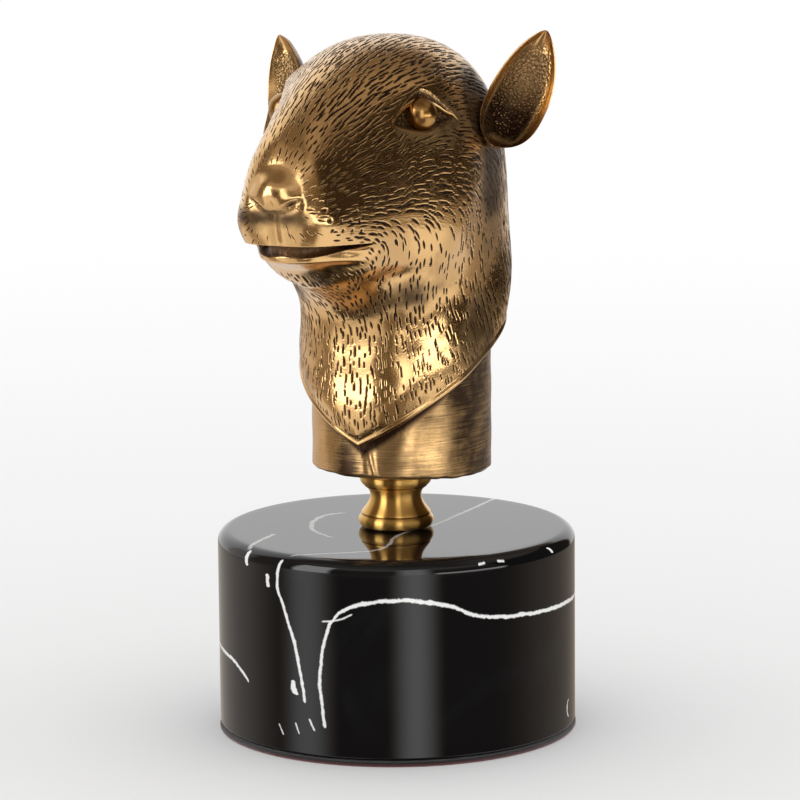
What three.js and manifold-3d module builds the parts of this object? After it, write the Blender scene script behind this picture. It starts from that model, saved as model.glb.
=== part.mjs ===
// A Chinese zodiac figure: a cast brass rat's head on a turned brass stem and a round plinth of black marble
// with a felt pad under it. Millimetres, +Z up. The nose points to -Y, and the animal's left side is +X.
// The origin is the centre of the underside.
import * as THREE from "three";
import { mergeVertices } from "three/addons/utils/BufferGeometryUtils.js";
import Module from "manifold-3d";

const wasm = await Module();
wasm.setup();

// Driving dimensions
const plinthDiameter = 85.5;
const marbleHeight = 46.9;
const topEdgeRadius = 3;
const bottomEdgeChamfer = 0.5;
const feltThickness = 1.2;
const feltOverhang = 0.2;
const seamGap = 0.3;
const stemHeight = 12.5;
const stemFootRadius = 7.5;
const stemBeadRadius = 9;
const stemWaistRadius = 6.5;
const stemCapRadius = 8.6;
const stemGrooveDepth = 0.35;
const figureHeight = 106.1;
const peltThickness = 1.8;
const neckSideInset = 3;
const earWall = 1.5;
const mouthGap = 3.5;
const mouthDepth = 6;

// How finely the faceted solids are divided
const plinthSides = 72;
const stemSides = 28;
const headColumns = 56;
const headRings = 36;

// The head is shaped in figure units, whose origin is the centre of the neck's flat underside.
const unitsHigh = 107.5;
const unit = figureHeight / unitsHigh;

// Sections of the head from the nose tip to the edge of the pelt. Each is an oval from a point on the back of
// the profile to a point on its front: back y, back z, front y, front z, half width, and a share by which
// the back half is wider and the front half narrower.
const headSections = [
  [-66.9, 74.4, -66.9, 74.4, 0, 0],
  [-66.1, 78.6, -65.6, 67, 5.5, -0.02],
  [-64.2, 83.3, -63.6, 61.2, 8.4, -0.08],
  [-60.8, 88, -60, 57.4, 10.8, -0.16],
  [-55.2, 92.4, -54, 54.9, 13, -0.24],
  [-47.7, 96.6, -47, 52.3, 15.1, -0.26],
  [-38.6, 100.4, -40.3, 49.9, 17.4, -0.18],
  [-27.5, 103.7, -33.7, 47.4, 20.1, -0.06],
  [-15, 105.9, -28.6, 44.3, 23.2, 0.04],
  [-2, 106.4, -25.2, 40.4, 24.7, 0.09],
  [10.5, 104.6, -23.9, 36, 24.5, 0.12],
  [21.5, 99.4, -23.9, 31.3, 23.9, 0.13],
  [29.8, 90.4, -23.9, 26.7, 23.6, 0.1],
  [34.4, 78.6, -24.1, 22.1, 23.4, 0.05],
  [35.8, 65.4, -24.1, 17.5, 23.6, 0.04],
  [33.6, 52.4, -23.3, 13.3, 24.4, 0.07],
  [28.2, 40.4, -21.4, 9.4, 24, 0.07],
];
const lastSection = headSections.length - 1;
const sectionPower = 2.2;
const peltPointStart = 10; // from this section on, the rings sag to a point at the front of the neck

// The smooth neck under the pelt is an oval, a pelt's thickness inside its edge at the front and back, and
// further inside it at the sides. A soft keel runs down its front, and its lower rim rises a little at the
// front, round a flat seat for the stem.
const keel = { height: 1.2, width: 0.4 };
const rim = { radius: 0.9, middle: 0.95, frontRise: 0.95, sideDrop: 0.4, seatMargin: 2 };
const [peltBack, , peltFront, , peltHalfWidth] = headSections[lastSection];
const peltWall = peltThickness / unit;
const neckBack = peltBack - peltWall;
const neckFront = peltFront + peltWall + keel.height;
const neckHalfWidth = peltHalfWidth - neckSideInset / unit;

// The eye's centre and its corners lie on the head, and the lid arches from one corner to the other
const eye = { centre: [20.5, -24, 91], radius: 3.5, rise: 1.7 };
const lid = { front: [15, -34.4, 88.9], back: [23.9, -14.2, 88], peak: [20.5, -23.6, 95.6], radius: 0.6 };
const ear = {
  root: [25.8, -1.6, 80.2], tip: [35.2, 11.5, 107], facing: [0.4, -0.9, -0.12],
  halfWidth: 7.7, widest: 0.42, cup: 0.5, lowerCup: 0.5, lowerLip: 4.2, backing: 7, bow: 1.1, bend: 2.5,
  rightDrop: 3,
};
const nose = { middleZ: 75.2, halfWidth: 7, below: 4.4, above: 6, rise: 2.3, nostrilX: 4.9, nostrilZ: 74.2 };
const mouth = { centreY: -45.5, top: 62.6, frontRise: 1, halfWidth: 14.5, length: 21.5, overcut: 5 };

// Evenly spaced values joined by a natural cubic spline, as a function of the place along them
function naturalSpline(values) {
  const n = values.length;
  const curvature = new Array(n).fill(0);
  const carry = new Array(n).fill(0);
  for (let i = 1; i < n - 1; i++) {
    const bend = 6 * (values[i + 1] - 2 * values[i] + values[i - 1]);
    const pivot = 4 - carry[i - 1];
    carry[i] = 1 / pivot;
    curvature[i] = (bend - curvature[i - 1]) / pivot;
  }
  for (let i = n - 2; i > 0; i--) curvature[i] -= carry[i] * curvature[i + 1];
  return (place) => {
    const i = Math.min(Math.max(Math.floor(place), 0), n - 2);
    const t = place - i;
    const s = 1 - t;
    return s * values[i] + t * values[i + 1]
      + ((s ** 3 - s) * curvature[i] + (t ** 3 - t) * curvature[i + 1]) / 6;
  };
}

// One measure of the sections by section number, mirrored past the nose so that it closes round
function alongHead(measure, sign) {
  const mirrored = 3;
  const values = headSections.map(measure);
  const before = values.slice(1, mirrored + 1).reverse().map((value) => sign * value);
  const spline = naturalSpline([...before, ...values]);
  return (section) => spline(section + mirrored);
}

const middleY = alongHead((s) => (s[0] + s[2]) / 2, 1);
const middleZ = alongHead((s) => (s[1] + s[3]) / 2, 1);
const reachY = alongHead((s) => (s[0] - s[2]) / 2, -1);
const reachZ = alongHead((s) => (s[1] - s[3]) / 2, -1);
const halfWidth = alongHead((s) => s[4], -1);
const backWider = alongHead((s) => s[5], 1);

const smooth = (t) => {
  const c = Math.min(Math.max(t, 0), 1);
  return c * c * (3 - 2 * c);
};
const bell = (...shares) => Math.exp(-shares.reduce((sum, t) => sum + t * t, 0));
const signedPower = (value, power) => Math.sign(value) * Math.abs(value) ** power;

// A point of the plain head. The angle is 0 along the back of the profile and pi along its front.
function plainHead(section, angle) {
  const across = signedPower(Math.sin(angle), 2 / sectionPower);
  const along = signedPower(Math.cos(angle), 2 / sectionPower);
  const pointed = smooth((section - peltPointStart) / (lastSection - peltPointStart));
  const sag = 2 * Math.abs(Math.cos(angle / 2)) ** (2 - pointed) - 1 - Math.cos(angle);
  return new THREE.Vector3(
    halfWidth(section) * across * (1 + backWider(section) * along),
    middleY(section) + reachY(section) * along,
    middleZ(section) + reachZ(section) * (along + sag * pointed),
  );
}

// How far the modelled features stand out of the plain head at a point of it, in figure units
function features(p) {
  const x = Math.abs(p.x);
  const front = smooth((-p.y - 56) / 8);
  const noseHeight = p.z < nose.middleZ ? nose.below : nose.above;
  const ring = Math.hypot(x / nose.halfWidth, (p.z - nose.middleZ) / noseHeight);
  const dome = Math.max(1 - ring ** 2, 0) ** 0.8 * (1 - 0.8 * smooth((p.z - 74.5) / 6.5));
  const beside = x - nose.nostrilX;
  const nostril = -0.9 * bell(beside / 2, (p.z - nose.nostrilZ - 0.45 * beside) / 0.9);
  const wing = 0.6 * bell((x - 7.6) / 1.6, (p.z - 74) / 2.4);
  const noseForms = front * (nose.rise * dome + nostril + wing);
  const whiskerPad = 1.1 * bell((x - 9.5) / 5, (p.y + 60) / 7, (p.z - 68.5) / 4.5);
  const underLip = smooth((mouth.top - 0.2 - p.z) / 2) * smooth((-p.y - 42) / 12);
  const lowerLip = 1.1 * underLip * bell((p.z - mouth.top + 4) / 1.3);
  const cheek = 1.2 * bell((x - 21) / 9, (p.y + 16) / 13, (p.z - 62) / 12);
  const socket = -1.5 * bell((x - 20) / 7, (p.y + 24.5) / 7.5, (p.z - 89.5) / 3.6);
  const brow = 0.9 * bell((x - 19) / 6, (p.y + 22) / 10, (p.z - 96.5) / 3);
  const earRoot = 1.2 * bell((x - 21) / 7, (p.y - 5) / 7, (p.z - 88) / 9);
  const jaw = -1.1 * bell((x - 15) / 9, (p.y + 31) / 8, (p.z - 52) / 3.5);
  const throat = 0.7 * bell(x / 4.5, (p.z - 22) / 14) * smooth((-p.y - 14) / 5);
  return noseForms + whiskerPad - 2 * underLip + lowerLip + cheek + socket + brow + earRoot + jaw + throat;
}

// A point of the modelled head and the direction that its surface faces there
function headPoint(section, angle) {
  const step = 0.02;
  const base = plainHead(section, angle);
  const along = plainHead(section + step, angle).sub(plainHead(Math.max(section - step, 0.001), angle));
  const round = plainHead(section, angle + step).sub(plainHead(section, angle - step));
  const normal = section < step ? new THREE.Vector3(0, -1, 0) : round.cross(along).normalize();
  return { point: base.clone().addScaledVector(normal, features(base)), normal, base };
}

// The place on the plain head nearest to a point, as a section and an angle, found by corrections
function nearestPlace(target, guess = [7.5, 1]) {
  const goal = new THREE.Vector3(...target);
  const small = 0.01;
  let [section, angle] = guess;
  for (let i = 0; i < 12; i++) {
    const here = plainHead(section, angle);
    const along = plainHead(section + small, angle).sub(here).divideScalar(small);
    const round = plainHead(section, angle + small).sub(here).divideScalar(small);
    const miss = goal.clone().sub(here);
    const [aa, rr, ar] = [along.dot(along), round.dot(round), along.dot(round)];
    const [ma, mr] = [miss.dot(along), miss.dot(round)];
    const scale = aa * rr - ar * ar;
    section += (ma * rr - mr * ar) / scale;
    angle += (mr * aa - ma * ar) / scale;
  }
  return [section, angle];
}

const rimHeight = (angle) => rim.middle - rim.frontRise * Math.cos(angle) - rim.sideDrop * Math.sin(angle);

// The neck at a share of the way down from the pelt's edge to the rim, and at a share of its full width
function neckPoint(share, angle, width = 1) {
  const edge = plainHead(lastSection, angle);
  const across = signedPower(Math.sin(angle), 2 / sectionPower);
  const along = signedPower(Math.cos(angle), 2 / sectionPower);
  const fromFront = Math.abs(Math.atan2(Math.sin(angle), -Math.cos(angle)));
  const ridge = keel.height * Math.exp(-fromFront / keel.width) * smooth(share);
  const centreY = (neckBack + neckFront) / 2;
  const top = edge.z - 0.2;
  return new THREE.Vector3(
    neckHalfWidth * across * width,
    centreY + (((neckBack - neckFront) / 2) * along - ridge) * width,
    top + (rimHeight(angle) + rim.radius - top) * share,
  );
}

// Rings of points, each a closed loop, joined into one closed surface with a point at each end
function closedLoft(start, rings, end) {
  const count = rings[0].length;
  const points = [start, ...rings.flat(), end];
  const index = [];
  const at = (ring, i) => 1 + ring * count + (i % count);
  for (let i = 0; i < count; i++) {
    index.push(0, at(0, i), at(0, i + 1));
    index.push(points.length - 1, at(rings.length - 1, i + 1), at(rings.length - 1, i));
    for (let ring = 0; ring < rings.length - 1; ring++) {
      index.push(at(ring, i), at(ring + 1, i), at(ring + 1, i + 1));
      index.push(at(ring, i), at(ring + 1, i + 1), at(ring, i + 1));
    }
  }
  const geometry = new THREE.BufferGeometry().setFromPoints(points);
  geometry.setIndex(index);
  return geometry;
}

function centreOf(ring) {
  return ring.reduce((sum, p) => sum.add(p), new THREE.Vector3()).divideScalar(ring.length);
}

// A closed surface as a solid, with its faces turned outwards
function toSolid(geometry) {
  const bare = geometry.clone();
  bare.deleteAttribute("normal");
  bare.deleteAttribute("uv");
  const merged = mergeVertices(bare, 1e-4);
  const vertProperties = new Float32Array(merged.attributes.position.array);
  const triVerts = new Uint32Array(merged.index.array);
  const solid = new wasm.Manifold(new wasm.Mesh({ numProp: 3, vertProperties, triVerts }));
  if (solid.volume() > 0) return solid;
  for (let i = 0; i < triVerts.length; i += 3) {
    [triVerts[i + 1], triVerts[i + 2]] = [triVerts[i + 2], triVerts[i + 1]];
  }
  return new wasm.Manifold(new wasm.Mesh({ numProp: 3, vertProperties, triVerts }));
}

function toGeometry(solid) {
  const mesh = solid.getMesh();
  const geometry = new THREE.BufferGeometry();
  geometry.setAttribute("position", new THREE.BufferAttribute(mesh.vertProperties, 3));
  geometry.setIndex(new THREE.BufferAttribute(mesh.triVerts, 1));
  geometry.computeVertexNormals();
  return geometry;
}

// The head and neck as one skin: nose to pelt's edge, in under it, then down the neck to its underside
function headSkin() {
  const angles = Array.from({ length: headColumns }, (_, i) => (2 * Math.PI * i) / headColumns);
  const ringAt = (make) => angles.map((angle) => make(angle).multiplyScalar(unit));
  const rings = [];
  for (let i = 1; i <= headRings; i++) {
    const section = lastSection * (i / headRings) ** 1.05;
    rings.push(ringAt((angle) => headPoint(section, angle).point));
  }
  rings.push(ringAt((angle) => {
    const edge = headPoint(lastSection, angle).point;
    return edge.lerp(neckPoint(0, angle), 0.35).setZ(edge.z - 0.3 * peltWall);
  }));
  for (const share of [0.01, 0.25, 0.5, 0.75, 1]) rings.push(ringAt((angle) => neckPoint(share, angle)));
  const inset = rim.radius / neckHalfWidth;
  for (const [inwards, height] of [[0.3, 0.3], [1, 0]]) {
    rings.push(ringAt((angle) => {
      return neckPoint(1, angle, 1 - inset * inwards).setZ(rimHeight(angle) + height * rim.radius);
    }));
  }
  const seatRadius = (stemCapRadius + rim.seatMargin) / unit;
  rings.push(ringAt((angle) => {
    return new THREE.Vector3(seatRadius * Math.sin(angle), seatRadius * Math.cos(angle), 0);
  }));
  const noseTip = headPoint(0, 0).point.multiplyScalar(unit);
  return closedLoft(noseTip, rings, new THREE.Vector3());
}

// The open mouth, a flat slot around the front of the snout that narrows to nothing at its corners
function mouthCutter() {
  const steps = 24;
  const profile = [[-1, 0], [-0.8, 1], [0.98, 1], [1, 0.9], [1, -0.9], [0.98, -1], [-0.8, -1]];
  const depth = mouthDepth / unit;
  const rings = [];
  for (let i = 0; i <= steps; i++) {
    const turn = (i / steps - 0.5) * Math.PI;
    const open = 1 - Math.abs(turn / (Math.PI / 2)) ** 2.2;
    const gap = (mouthGap / unit) * (0.06 + 0.94 * open);
    const top = mouth.top + mouth.frontRise * open;
    rings.push(profile.map(([radial, height]) => {
      const out = radial > 0 ? radial * mouth.overcut : radial * depth;
      return new THREE.Vector3(
        (mouth.halfWidth + out) * Math.sin(turn),
        mouth.centreY - (mouth.length + out) * Math.cos(turn),
        top + ((height - 1) * gap) / 2,
      ).multiplyScalar(unit);
    }));
  }
  return closedLoft(centreOf(rings[0]), rings, centreOf(rings[steps]));
}

// The eyeball, a ball set into the head so that a shallow dome of it shows
function eyeball(side) {
  const [section, angle] = nearestPlace(eye.centre);
  const { base, normal } = headPoint(section, angle);
  const centre = base.addScaledVector(normal, eye.rise - eye.radius);
  const ball = new THREE.SphereGeometry(eye.radius * unit, 16, 10);
  return ball.translate(side * centre.x * unit, centre.y * unit, centre.z * unit);
}

// The upper lid, a thin tapering ridge that arches over the eye along the head's surface
function upperLid(side) {
  const steps = 14;
  const around = 6;
  const rings = [];
  for (let i = 0; i <= steps; i++) {
    const share = i / steps;
    const reach = 2 * share - 1;
    const arch = 1 - Math.abs(reach) ** 1.5;
    const straight = lid.front.map((value, k) => value + (lid.back[k] - value) * share);
    const middle = lid.front.map((value, k) => (value + lid.back[k]) / 2);
    const target = straight.map((value, k) => value + (lid.peak[k] - middle[k]) * arch);
    const [section, angle] = nearestPlace(target);
    const { base, normal } = headPoint(section, angle);
    const across = plainHead(section, angle + 0.05).sub(base).normalize();
    const radius = lid.radius * (1.08 - reach ** 4);
    rings.push(Array.from({ length: around }, (_, k) => {
      const turn = (2 * Math.PI * k) / around;
      return base.clone()
        .addScaledVector(normal, radius * Math.cos(turn))
        .addScaledVector(across, radius * Math.sin(turn) * 1.3)
        .multiply(new THREE.Vector3(side * unit, unit, unit));
    }));
  }
  return closedLoft(centreOf(rings[0]), rings, centreOf(rings[steps]));
}

// One ear, a cupped leaf that closes to a point at both ends. It opens forwards and outwards. Its lower end
// curls forwards into a bowl, and its back is thick there so that it joins the head.
function earShell(side) {
  const steps = 13;
  const across = 9;
  const root = new THREE.Vector3(...ear.root);
  const stretch = new THREE.Vector3(...ear.tip).sub(root);
  const up = stretch.clone().normalize();
  const opening = new THREE.Vector3(...ear.facing);
  opening.addScaledVector(up, -opening.dot(up)).normalize();
  const sideways = new THREE.Vector3().crossVectors(up, opening);
  const wall = earWall / unit;
  const rings = [];
  for (let i = 0; i <= steps; i++) {
    const share = (1 - Math.cos(Math.PI * (0.05 + 0.9 * (i / steps)))) / 2;
    const above = Math.max(share - ear.widest, 0) / (1 - ear.widest);
    const below = Math.max(ear.widest - share, 0) / ear.widest;
    const spread = ear.halfWidth * (1 - above ** 1.9) ** 0.68 * Math.sqrt(1 - below ** 2.8);
    const depth = spread * (ear.cup + ear.lowerCup * below) * 1.6;
    const thick = wall * Math.min(1, spread / 3);
    const backing = ear.backing * smooth((0.55 - share) / 0.35);
    const bow = Math.sin(Math.PI * share);
    const centre = root.clone()
      .addScaledVector(stretch, share)
      .addScaledVector(sideways, ear.bow * bow)
      .addScaledVector(opening, ear.lowerLip * below ** 3 - ear.bend * bow);
    if (side < 0) centre.z -= ear.rightDrop * share;
    const loop = (wallShare, q) => centre.clone()
      .addScaledVector(sideways, q * (spread - thick * 0.5 * (1 - wallShare)))
      .addScaledVector(opening, depth * (q * q - 0.5) - wallShare * (thick + backing * (1 - q * q)));
    const ring = [];
    for (let k = 0; k < across; k++) ring.push(loop(0, 1 - (2 * k) / (across - 1)));
    for (let k = 0; k < across; k++) ring.push(loop(1, (2 * k) / (across - 1) - 1));
    rings.push(ring.map((p) => p.multiply(new THREE.Vector3(side * unit, unit, unit))));
  }
  return closedLoft(centreOf(rings[0]), rings, centreOf(rings[steps]));
}

function castHead() {
  let solid = toSolid(headSkin()).subtract(toSolid(mouthCutter()));
  for (const side of [-1, 1]) {
    for (const make of [eyeball, upperLid, earShell]) solid = solid.add(toSolid(make(side)));
  }
  return toGeometry(solid);
}

// A round bar turned to a profile of [radius, height] points, from its underside to its top
function turned(profile, sides) {
  const points = profile.map(([radius, height]) => new THREE.Vector2(radius, height));
  return toGeometry(toSolid(new THREE.LatheGeometry(points, sides).rotateX(Math.PI / 2)));
}

function feltPad() {
  const radius = plinthDiameter / 2 + feltOverhang;
  return turned([[0, 0], [radius, 0], [radius, feltThickness], [0, feltThickness]], plinthSides);
}

function marblePlinth() {
  const radius = plinthDiameter / 2;
  const profile = [[0, 0], [radius - bottomEdgeChamfer, 0], [radius, bottomEdgeChamfer]];
  const steps = 4;
  for (let i = 0; i <= steps; i++) {
    const turn = (i / steps) * (Math.PI / 2);
    profile.push([
      radius - topEdgeRadius * (1 - Math.cos(turn)),
      marbleHeight - topEdgeRadius * (1 - Math.sin(turn)),
    ]);
  }
  profile.push([0, marbleHeight]);
  return turned(profile, plinthSides);
}

// The stem's heights are shares of its own height, from its foot to its cap
function turnedStem() {
  const shares = [
    [0, 0],
    [stemFootRadius, 0],
    [stemFootRadius + 0.35 * (stemBeadRadius - stemFootRadius), 0.03],
    [stemBeadRadius - 0.15 * (stemBeadRadius - stemFootRadius), 0.1],
    [stemBeadRadius, 0.18],
    [stemBeadRadius - 0.1, 0.25],
    [stemBeadRadius - stemGrooveDepth - 0.3, 0.315],
    [stemBeadRadius - 0.45, 0.34],
    [stemWaistRadius + 0.42 * (stemBeadRadius - stemWaistRadius), 0.45],
    [stemWaistRadius + 0.08 * (stemBeadRadius - stemWaistRadius), 0.56],
    [stemWaistRadius, 0.67],
    [stemWaistRadius + 0.3 * (stemCapRadius - stemWaistRadius), 0.78],
    [stemCapRadius - 0.3, 0.865],
    [stemCapRadius - stemGrooveDepth - 0.15, 0.88],
    [stemCapRadius - 0.1, 0.905],
    [stemCapRadius, 0.94],
    [stemCapRadius, 1],
    [0, 1],
  ];
  return turned(shares.map(([radius, share]) => [radius, share * stemHeight]), stemSides);
}

function piece(name, geometry, height, color, roughness, metalness) {
  const mesh = new THREE.Mesh(geometry, new THREE.MeshStandardMaterial({ color, roughness, metalness }));
  mesh.name = name;
  mesh.position.z = height;
  return mesh;
}

const marbleBase = feltThickness + seamGap;
const stemBase = marbleBase + marbleHeight + seamGap;
const headBase = stemBase + stemHeight + seamGap;

const figure = new THREE.Group();
figure.add(piece("felt_pad", feltPad(), 0, 0x2a1a18, 0.95, 0));
figure.add(piece("marble_plinth", marblePlinth(), marbleBase, 0x0b0b0c, 0.08, 0));
figure.add(piece("turned_stem", turnedStem(), stemBase, 0xb98a3c, 0.28, 1));
figure.add(piece("rat_head", castHead(), headBase, 0xa8803f, 0.32, 1));

export default figure;
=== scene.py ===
# A Chinese zodiac figure: an antique brass rat's head on a turned brass stem and a plinth of black marble.
# The head is engraved with fur strokes down to the edge of its pelt, and its neck is smooth under that.
import math
from functools import partial

import bpy
import numpy as np
from mathutils import Matrix, Vector


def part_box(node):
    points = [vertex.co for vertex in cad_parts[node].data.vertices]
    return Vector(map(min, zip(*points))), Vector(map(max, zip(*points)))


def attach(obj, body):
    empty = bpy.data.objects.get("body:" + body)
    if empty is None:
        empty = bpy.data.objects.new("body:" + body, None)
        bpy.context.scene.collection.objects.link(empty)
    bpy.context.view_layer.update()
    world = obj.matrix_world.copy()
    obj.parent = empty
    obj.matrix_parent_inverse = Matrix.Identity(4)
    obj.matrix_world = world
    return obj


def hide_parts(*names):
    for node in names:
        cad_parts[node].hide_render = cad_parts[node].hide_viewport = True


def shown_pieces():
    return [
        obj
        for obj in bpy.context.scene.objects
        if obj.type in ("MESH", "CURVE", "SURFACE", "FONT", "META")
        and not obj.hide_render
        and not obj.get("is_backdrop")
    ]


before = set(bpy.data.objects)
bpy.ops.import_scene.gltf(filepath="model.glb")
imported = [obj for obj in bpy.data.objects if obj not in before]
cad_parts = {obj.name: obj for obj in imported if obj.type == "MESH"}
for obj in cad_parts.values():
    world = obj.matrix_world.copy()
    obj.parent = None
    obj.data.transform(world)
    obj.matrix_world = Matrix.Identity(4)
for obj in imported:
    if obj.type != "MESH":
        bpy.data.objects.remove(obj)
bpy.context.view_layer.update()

print("frame loaded:", ", ".join(sorted(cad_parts)))

mm = 0.001
stemLow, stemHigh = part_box("turned_stem")
marbleLow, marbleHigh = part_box("marble_plinth")
_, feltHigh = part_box("felt_pad")
_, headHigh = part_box("rat_head")
jointGap = 0.3 * mm  # between the stem's cap and the neck
headBase = stemHigh.z + jointGap  # the centre of the neck's flat underside
earTop = 107.1  # the height of the left ear's tip over it, in figure units
unit = (headHigh.z - headBase) / mm / earTop  # a figure unit in millimetres


# Plain functions of arrays
def smooth(t):
    t = np.clip(t, 0, 1)
    return t * t * (3 - 2 * t)


def bell(*shares):
    return np.exp(-sum(t * t for t in shares))


def signedPower(value, power):
    return np.sign(value) * np.abs(value) ** power


def unitVectors(vectors):
    return vectors / np.maximum(np.linalg.norm(vectors, axis=-1, keepdims=True), 1e-12)


def roundTurns(columns):
    # angles once round, evenly spaced
    return 2 * math.pi * np.arange(columns) / columns


def halved(p):
    # how far points lie from the middle plane, and their y and z, for forms that are alike on both sides
    return np.abs(p[..., 0]), p[..., 1], p[..., 2]


def naturalSpline(values):
    # values one step apart joined by a cubic whose second derivative is continuous and nothing at both ends
    values = np.asarray(values, float)
    count = len(values)
    system = 4 * np.eye(count) + np.eye(count, k=1) + np.eye(count, k=-1)
    system[[0, -1]] = np.eye(count)[[0, -1]]
    bends = np.zeros(count)
    bends[1:-1] = 6 * (values[2:] - 2 * values[1:-1] + values[:-2])
    curvature = np.linalg.solve(system, bends)

    def curve(place):
        i = np.clip(np.floor(place).astype(int), 0, count - 2)
        t = place - i
        s = 1 - t
        cubic = (s**3 - s) * curvature[i] + (t**3 - t) * curvature[i + 1]
        return s * values[i] + t * values[i + 1] + cubic / 6

    return curve


# Meshes: every piece is a stack of closed rings with a point at each end
def loftFaces(rows, columns):
    # quads between the rings and triangle fans to the two end points, all facing outwards where the rings
    # turn clockwise as seen from the far end. The first point is 0, then the rings, then the last point.
    ring = np.arange(columns)
    after = (ring + 1) % columns
    first = 1 + np.arange(rows - 1)[:, None] * columns
    quads = np.stack([first + ring, first + columns + ring, first + columns + after, first + after], -1)
    end = 1 + rows * columns
    lastRing = 1 + (rows - 1) * columns
    fanStart = np.stack([np.zeros(columns, int), 1 + ring, 1 + after], -1)
    fanEnd = np.stack([np.full(columns, end), lastRing + after, lastRing + ring], -1)
    return quads.reshape(-1, 4), np.concatenate([fanStart, fanEnd])


def loftPiece(name, start, rings, end, facing=1, **valuesAtPoints):
    # start and end are points, rings is rows by columns by 3, all in millimetres. facing -1 turns the faces
    # round. Each extra value is rows by columns, and becomes an attribute of the points.
    rows, columns = rings.shape[:2]
    quads, fans = loftFaces(rows, columns)
    if facing < 0:
        quads, fans = quads[:, ::-1], fans[:, ::-1]
    points = np.concatenate([[start], rings.reshape(-1, 3), [end]]) * mm
    mesh = bpy.data.meshes.new(name)
    mesh.vertices.add(len(points))
    mesh.vertices.foreach_set("co", points.astype(np.float32).ravel())
    corners = np.concatenate([quads.ravel(), fans.ravel()])
    sizes = np.concatenate([np.full(len(quads), 4), np.full(len(fans), 3)])
    mesh.loops.add(len(corners))
    mesh.loops.foreach_set("vertex_index", corners.astype(np.int32))
    mesh.polygons.add(len(sizes))
    mesh.polygons.foreach_set("loop_start", (np.cumsum(sizes) - sizes).astype(np.int32))
    mesh.update(calc_edges=True)
    mesh.shade_smooth()
    for key, value in valuesAtPoints.items():
        values = np.concatenate([value[:1].mean(axis=1), value.reshape(-1, *value.shape[2:]),
                                 value[-1:].mean(axis=1)]).astype(np.float32)
        kind, field = ("FLOAT", "value") if value.ndim == 2 else ("FLOAT_VECTOR", "vector")
        mesh.attributes.new(key, kind, "POINT").data.foreach_set(field, values.ravel())
    piece = bpy.data.objects.new(name, mesh)
    bpy.context.scene.collection.objects.link(piece)
    return piece


def headPiece(name, start, rings, end, facing, **values):
    # a piece of the head, from figure units round the centre of the neck's underside
    base = np.array([0, 0, headBase / mm])
    return loftPiece(name, start * unit + base, rings * unit + base, end * unit + base, facing, **values)


def creaseAround(piece, ringStarts, columns):
    # the edges along these rings keep a sharp corner, and the rest of the surface is smooth
    edges = np.zeros(len(piece.data.edges) * 2, np.int32)
    piece.data.edges.foreach_get("vertices", edges)
    edges = edges.reshape(-1, 2)
    sharp = np.zeros(len(edges), bool)
    for start in ringStarts:
        inside = (edges >= start) & (edges < start + columns)
        sharp |= inside.all(axis=1)
    attribute = piece.data.attributes.new("sharp_edge", "BOOLEAN", "EDGE")
    attribute.data.foreach_set("value", sharp)


def finish(piece, node, slotName, *materials):
    for material in materials:
        piece.data.materials.append(material)
    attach(piece, "root")
    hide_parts(node)
    return piece


# Materials
def linear(hexColour):
    # an sRGB hex colour as linear red, green, blue and alpha
    parts = [int(hexColour[i:i + 2], 16) / 255 for i in (1, 3, 5)]
    return [p / 12.92 if p <= 0.04045 else ((p + 0.055) / 1.055) ** 2.4 for p in parts] + [1]


def addNode(tree, kind, inputs=None, output=0, **settings):
    # a node with its settings, and for each input a value or the socket that it is linked to. Gives one of
    # its outputs, by number or name.
    node = tree.nodes.new("ShaderNode" + kind)
    for key, value in settings.items():
        setattr(node, key, value)
    for socket, value in (inputs or {}).items():
        if isinstance(value, bpy.types.NodeSocket):
            tree.links.new(value, node.inputs[socket])
        else:
            node.inputs[socket].default_value = value
    return node.outputs[output] if node.outputs else None


# Settings that many nodes share: a ramp with soft ends, and a mix of two colours, which are its inputs 6
# and 7 and come out as its output 2
gently = {"interpolation_type": "SMOOTHSTEP"}
ofColours = {"data_type": "RGBA", "output": 2}


def newMaterial(name):
    # an empty material, and the function that adds nodes to it
    material = bpy.data.materials.new(name)
    material.use_nodes = True
    material.node_tree.nodes.clear()
    return material, partial(addNode, material.node_tree)


def inMillimetres(add):
    # the object's own coordinates
    return add("VectorMath", {0: add("TexCoord", output="Object"), "Scale": 1 / mm}, operation="SCALE")


# The camera stands where the photograph's did
camera = {
    "turn": 24,  # degrees round from the nose, towards the animal's left
    "distance": 1002,
    "height": 254.6,
    "pitchDown": 9.943,
    "roll": -0.533,
    "focalPixels": 4268,
    "shiftPixels": 4.99,
    "imageWidth": 800,
}


def placeCamera():
    data = bpy.data.cameras.new("camera")
    turn, pitch, roll = (math.radians(camera[key]) for key in ("turn", "pitchDown", "roll"))
    away = Vector((math.sin(turn), -math.cos(turn), 0))
    right = Vector((math.cos(turn), math.sin(turn), 0))
    forward = -away * math.cos(pitch) - Vector((0, 0, math.sin(pitch)))
    up = right.cross(forward)
    tiltedRight = right * math.cos(roll) + up * math.sin(roll)
    tiltedUp = up * math.cos(roll) - right * math.sin(roll)
    place = away * camera["distance"] * mm + Vector((0, 0, camera["height"] * mm))
    axes = Matrix((tiltedRight, tiltedUp, -forward)).transposed().to_4x4()
    data.sensor_width = 36
    data.lens = camera["focalPixels"] / camera["imageWidth"] * data.sensor_width
    data.shift_x = camera["shiftPixels"] / camera["imageWidth"]
    data.clip_start = 0.05
    data.clip_end = 60
    seen = bpy.data.objects.new("camera", data)
    seen.matrix_world = Matrix.Translation(place) @ axes
    bpy.context.scene.collection.objects.link(seen)
    bpy.context.scene.camera = seen


placeCamera()
print("camera placed")


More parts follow.
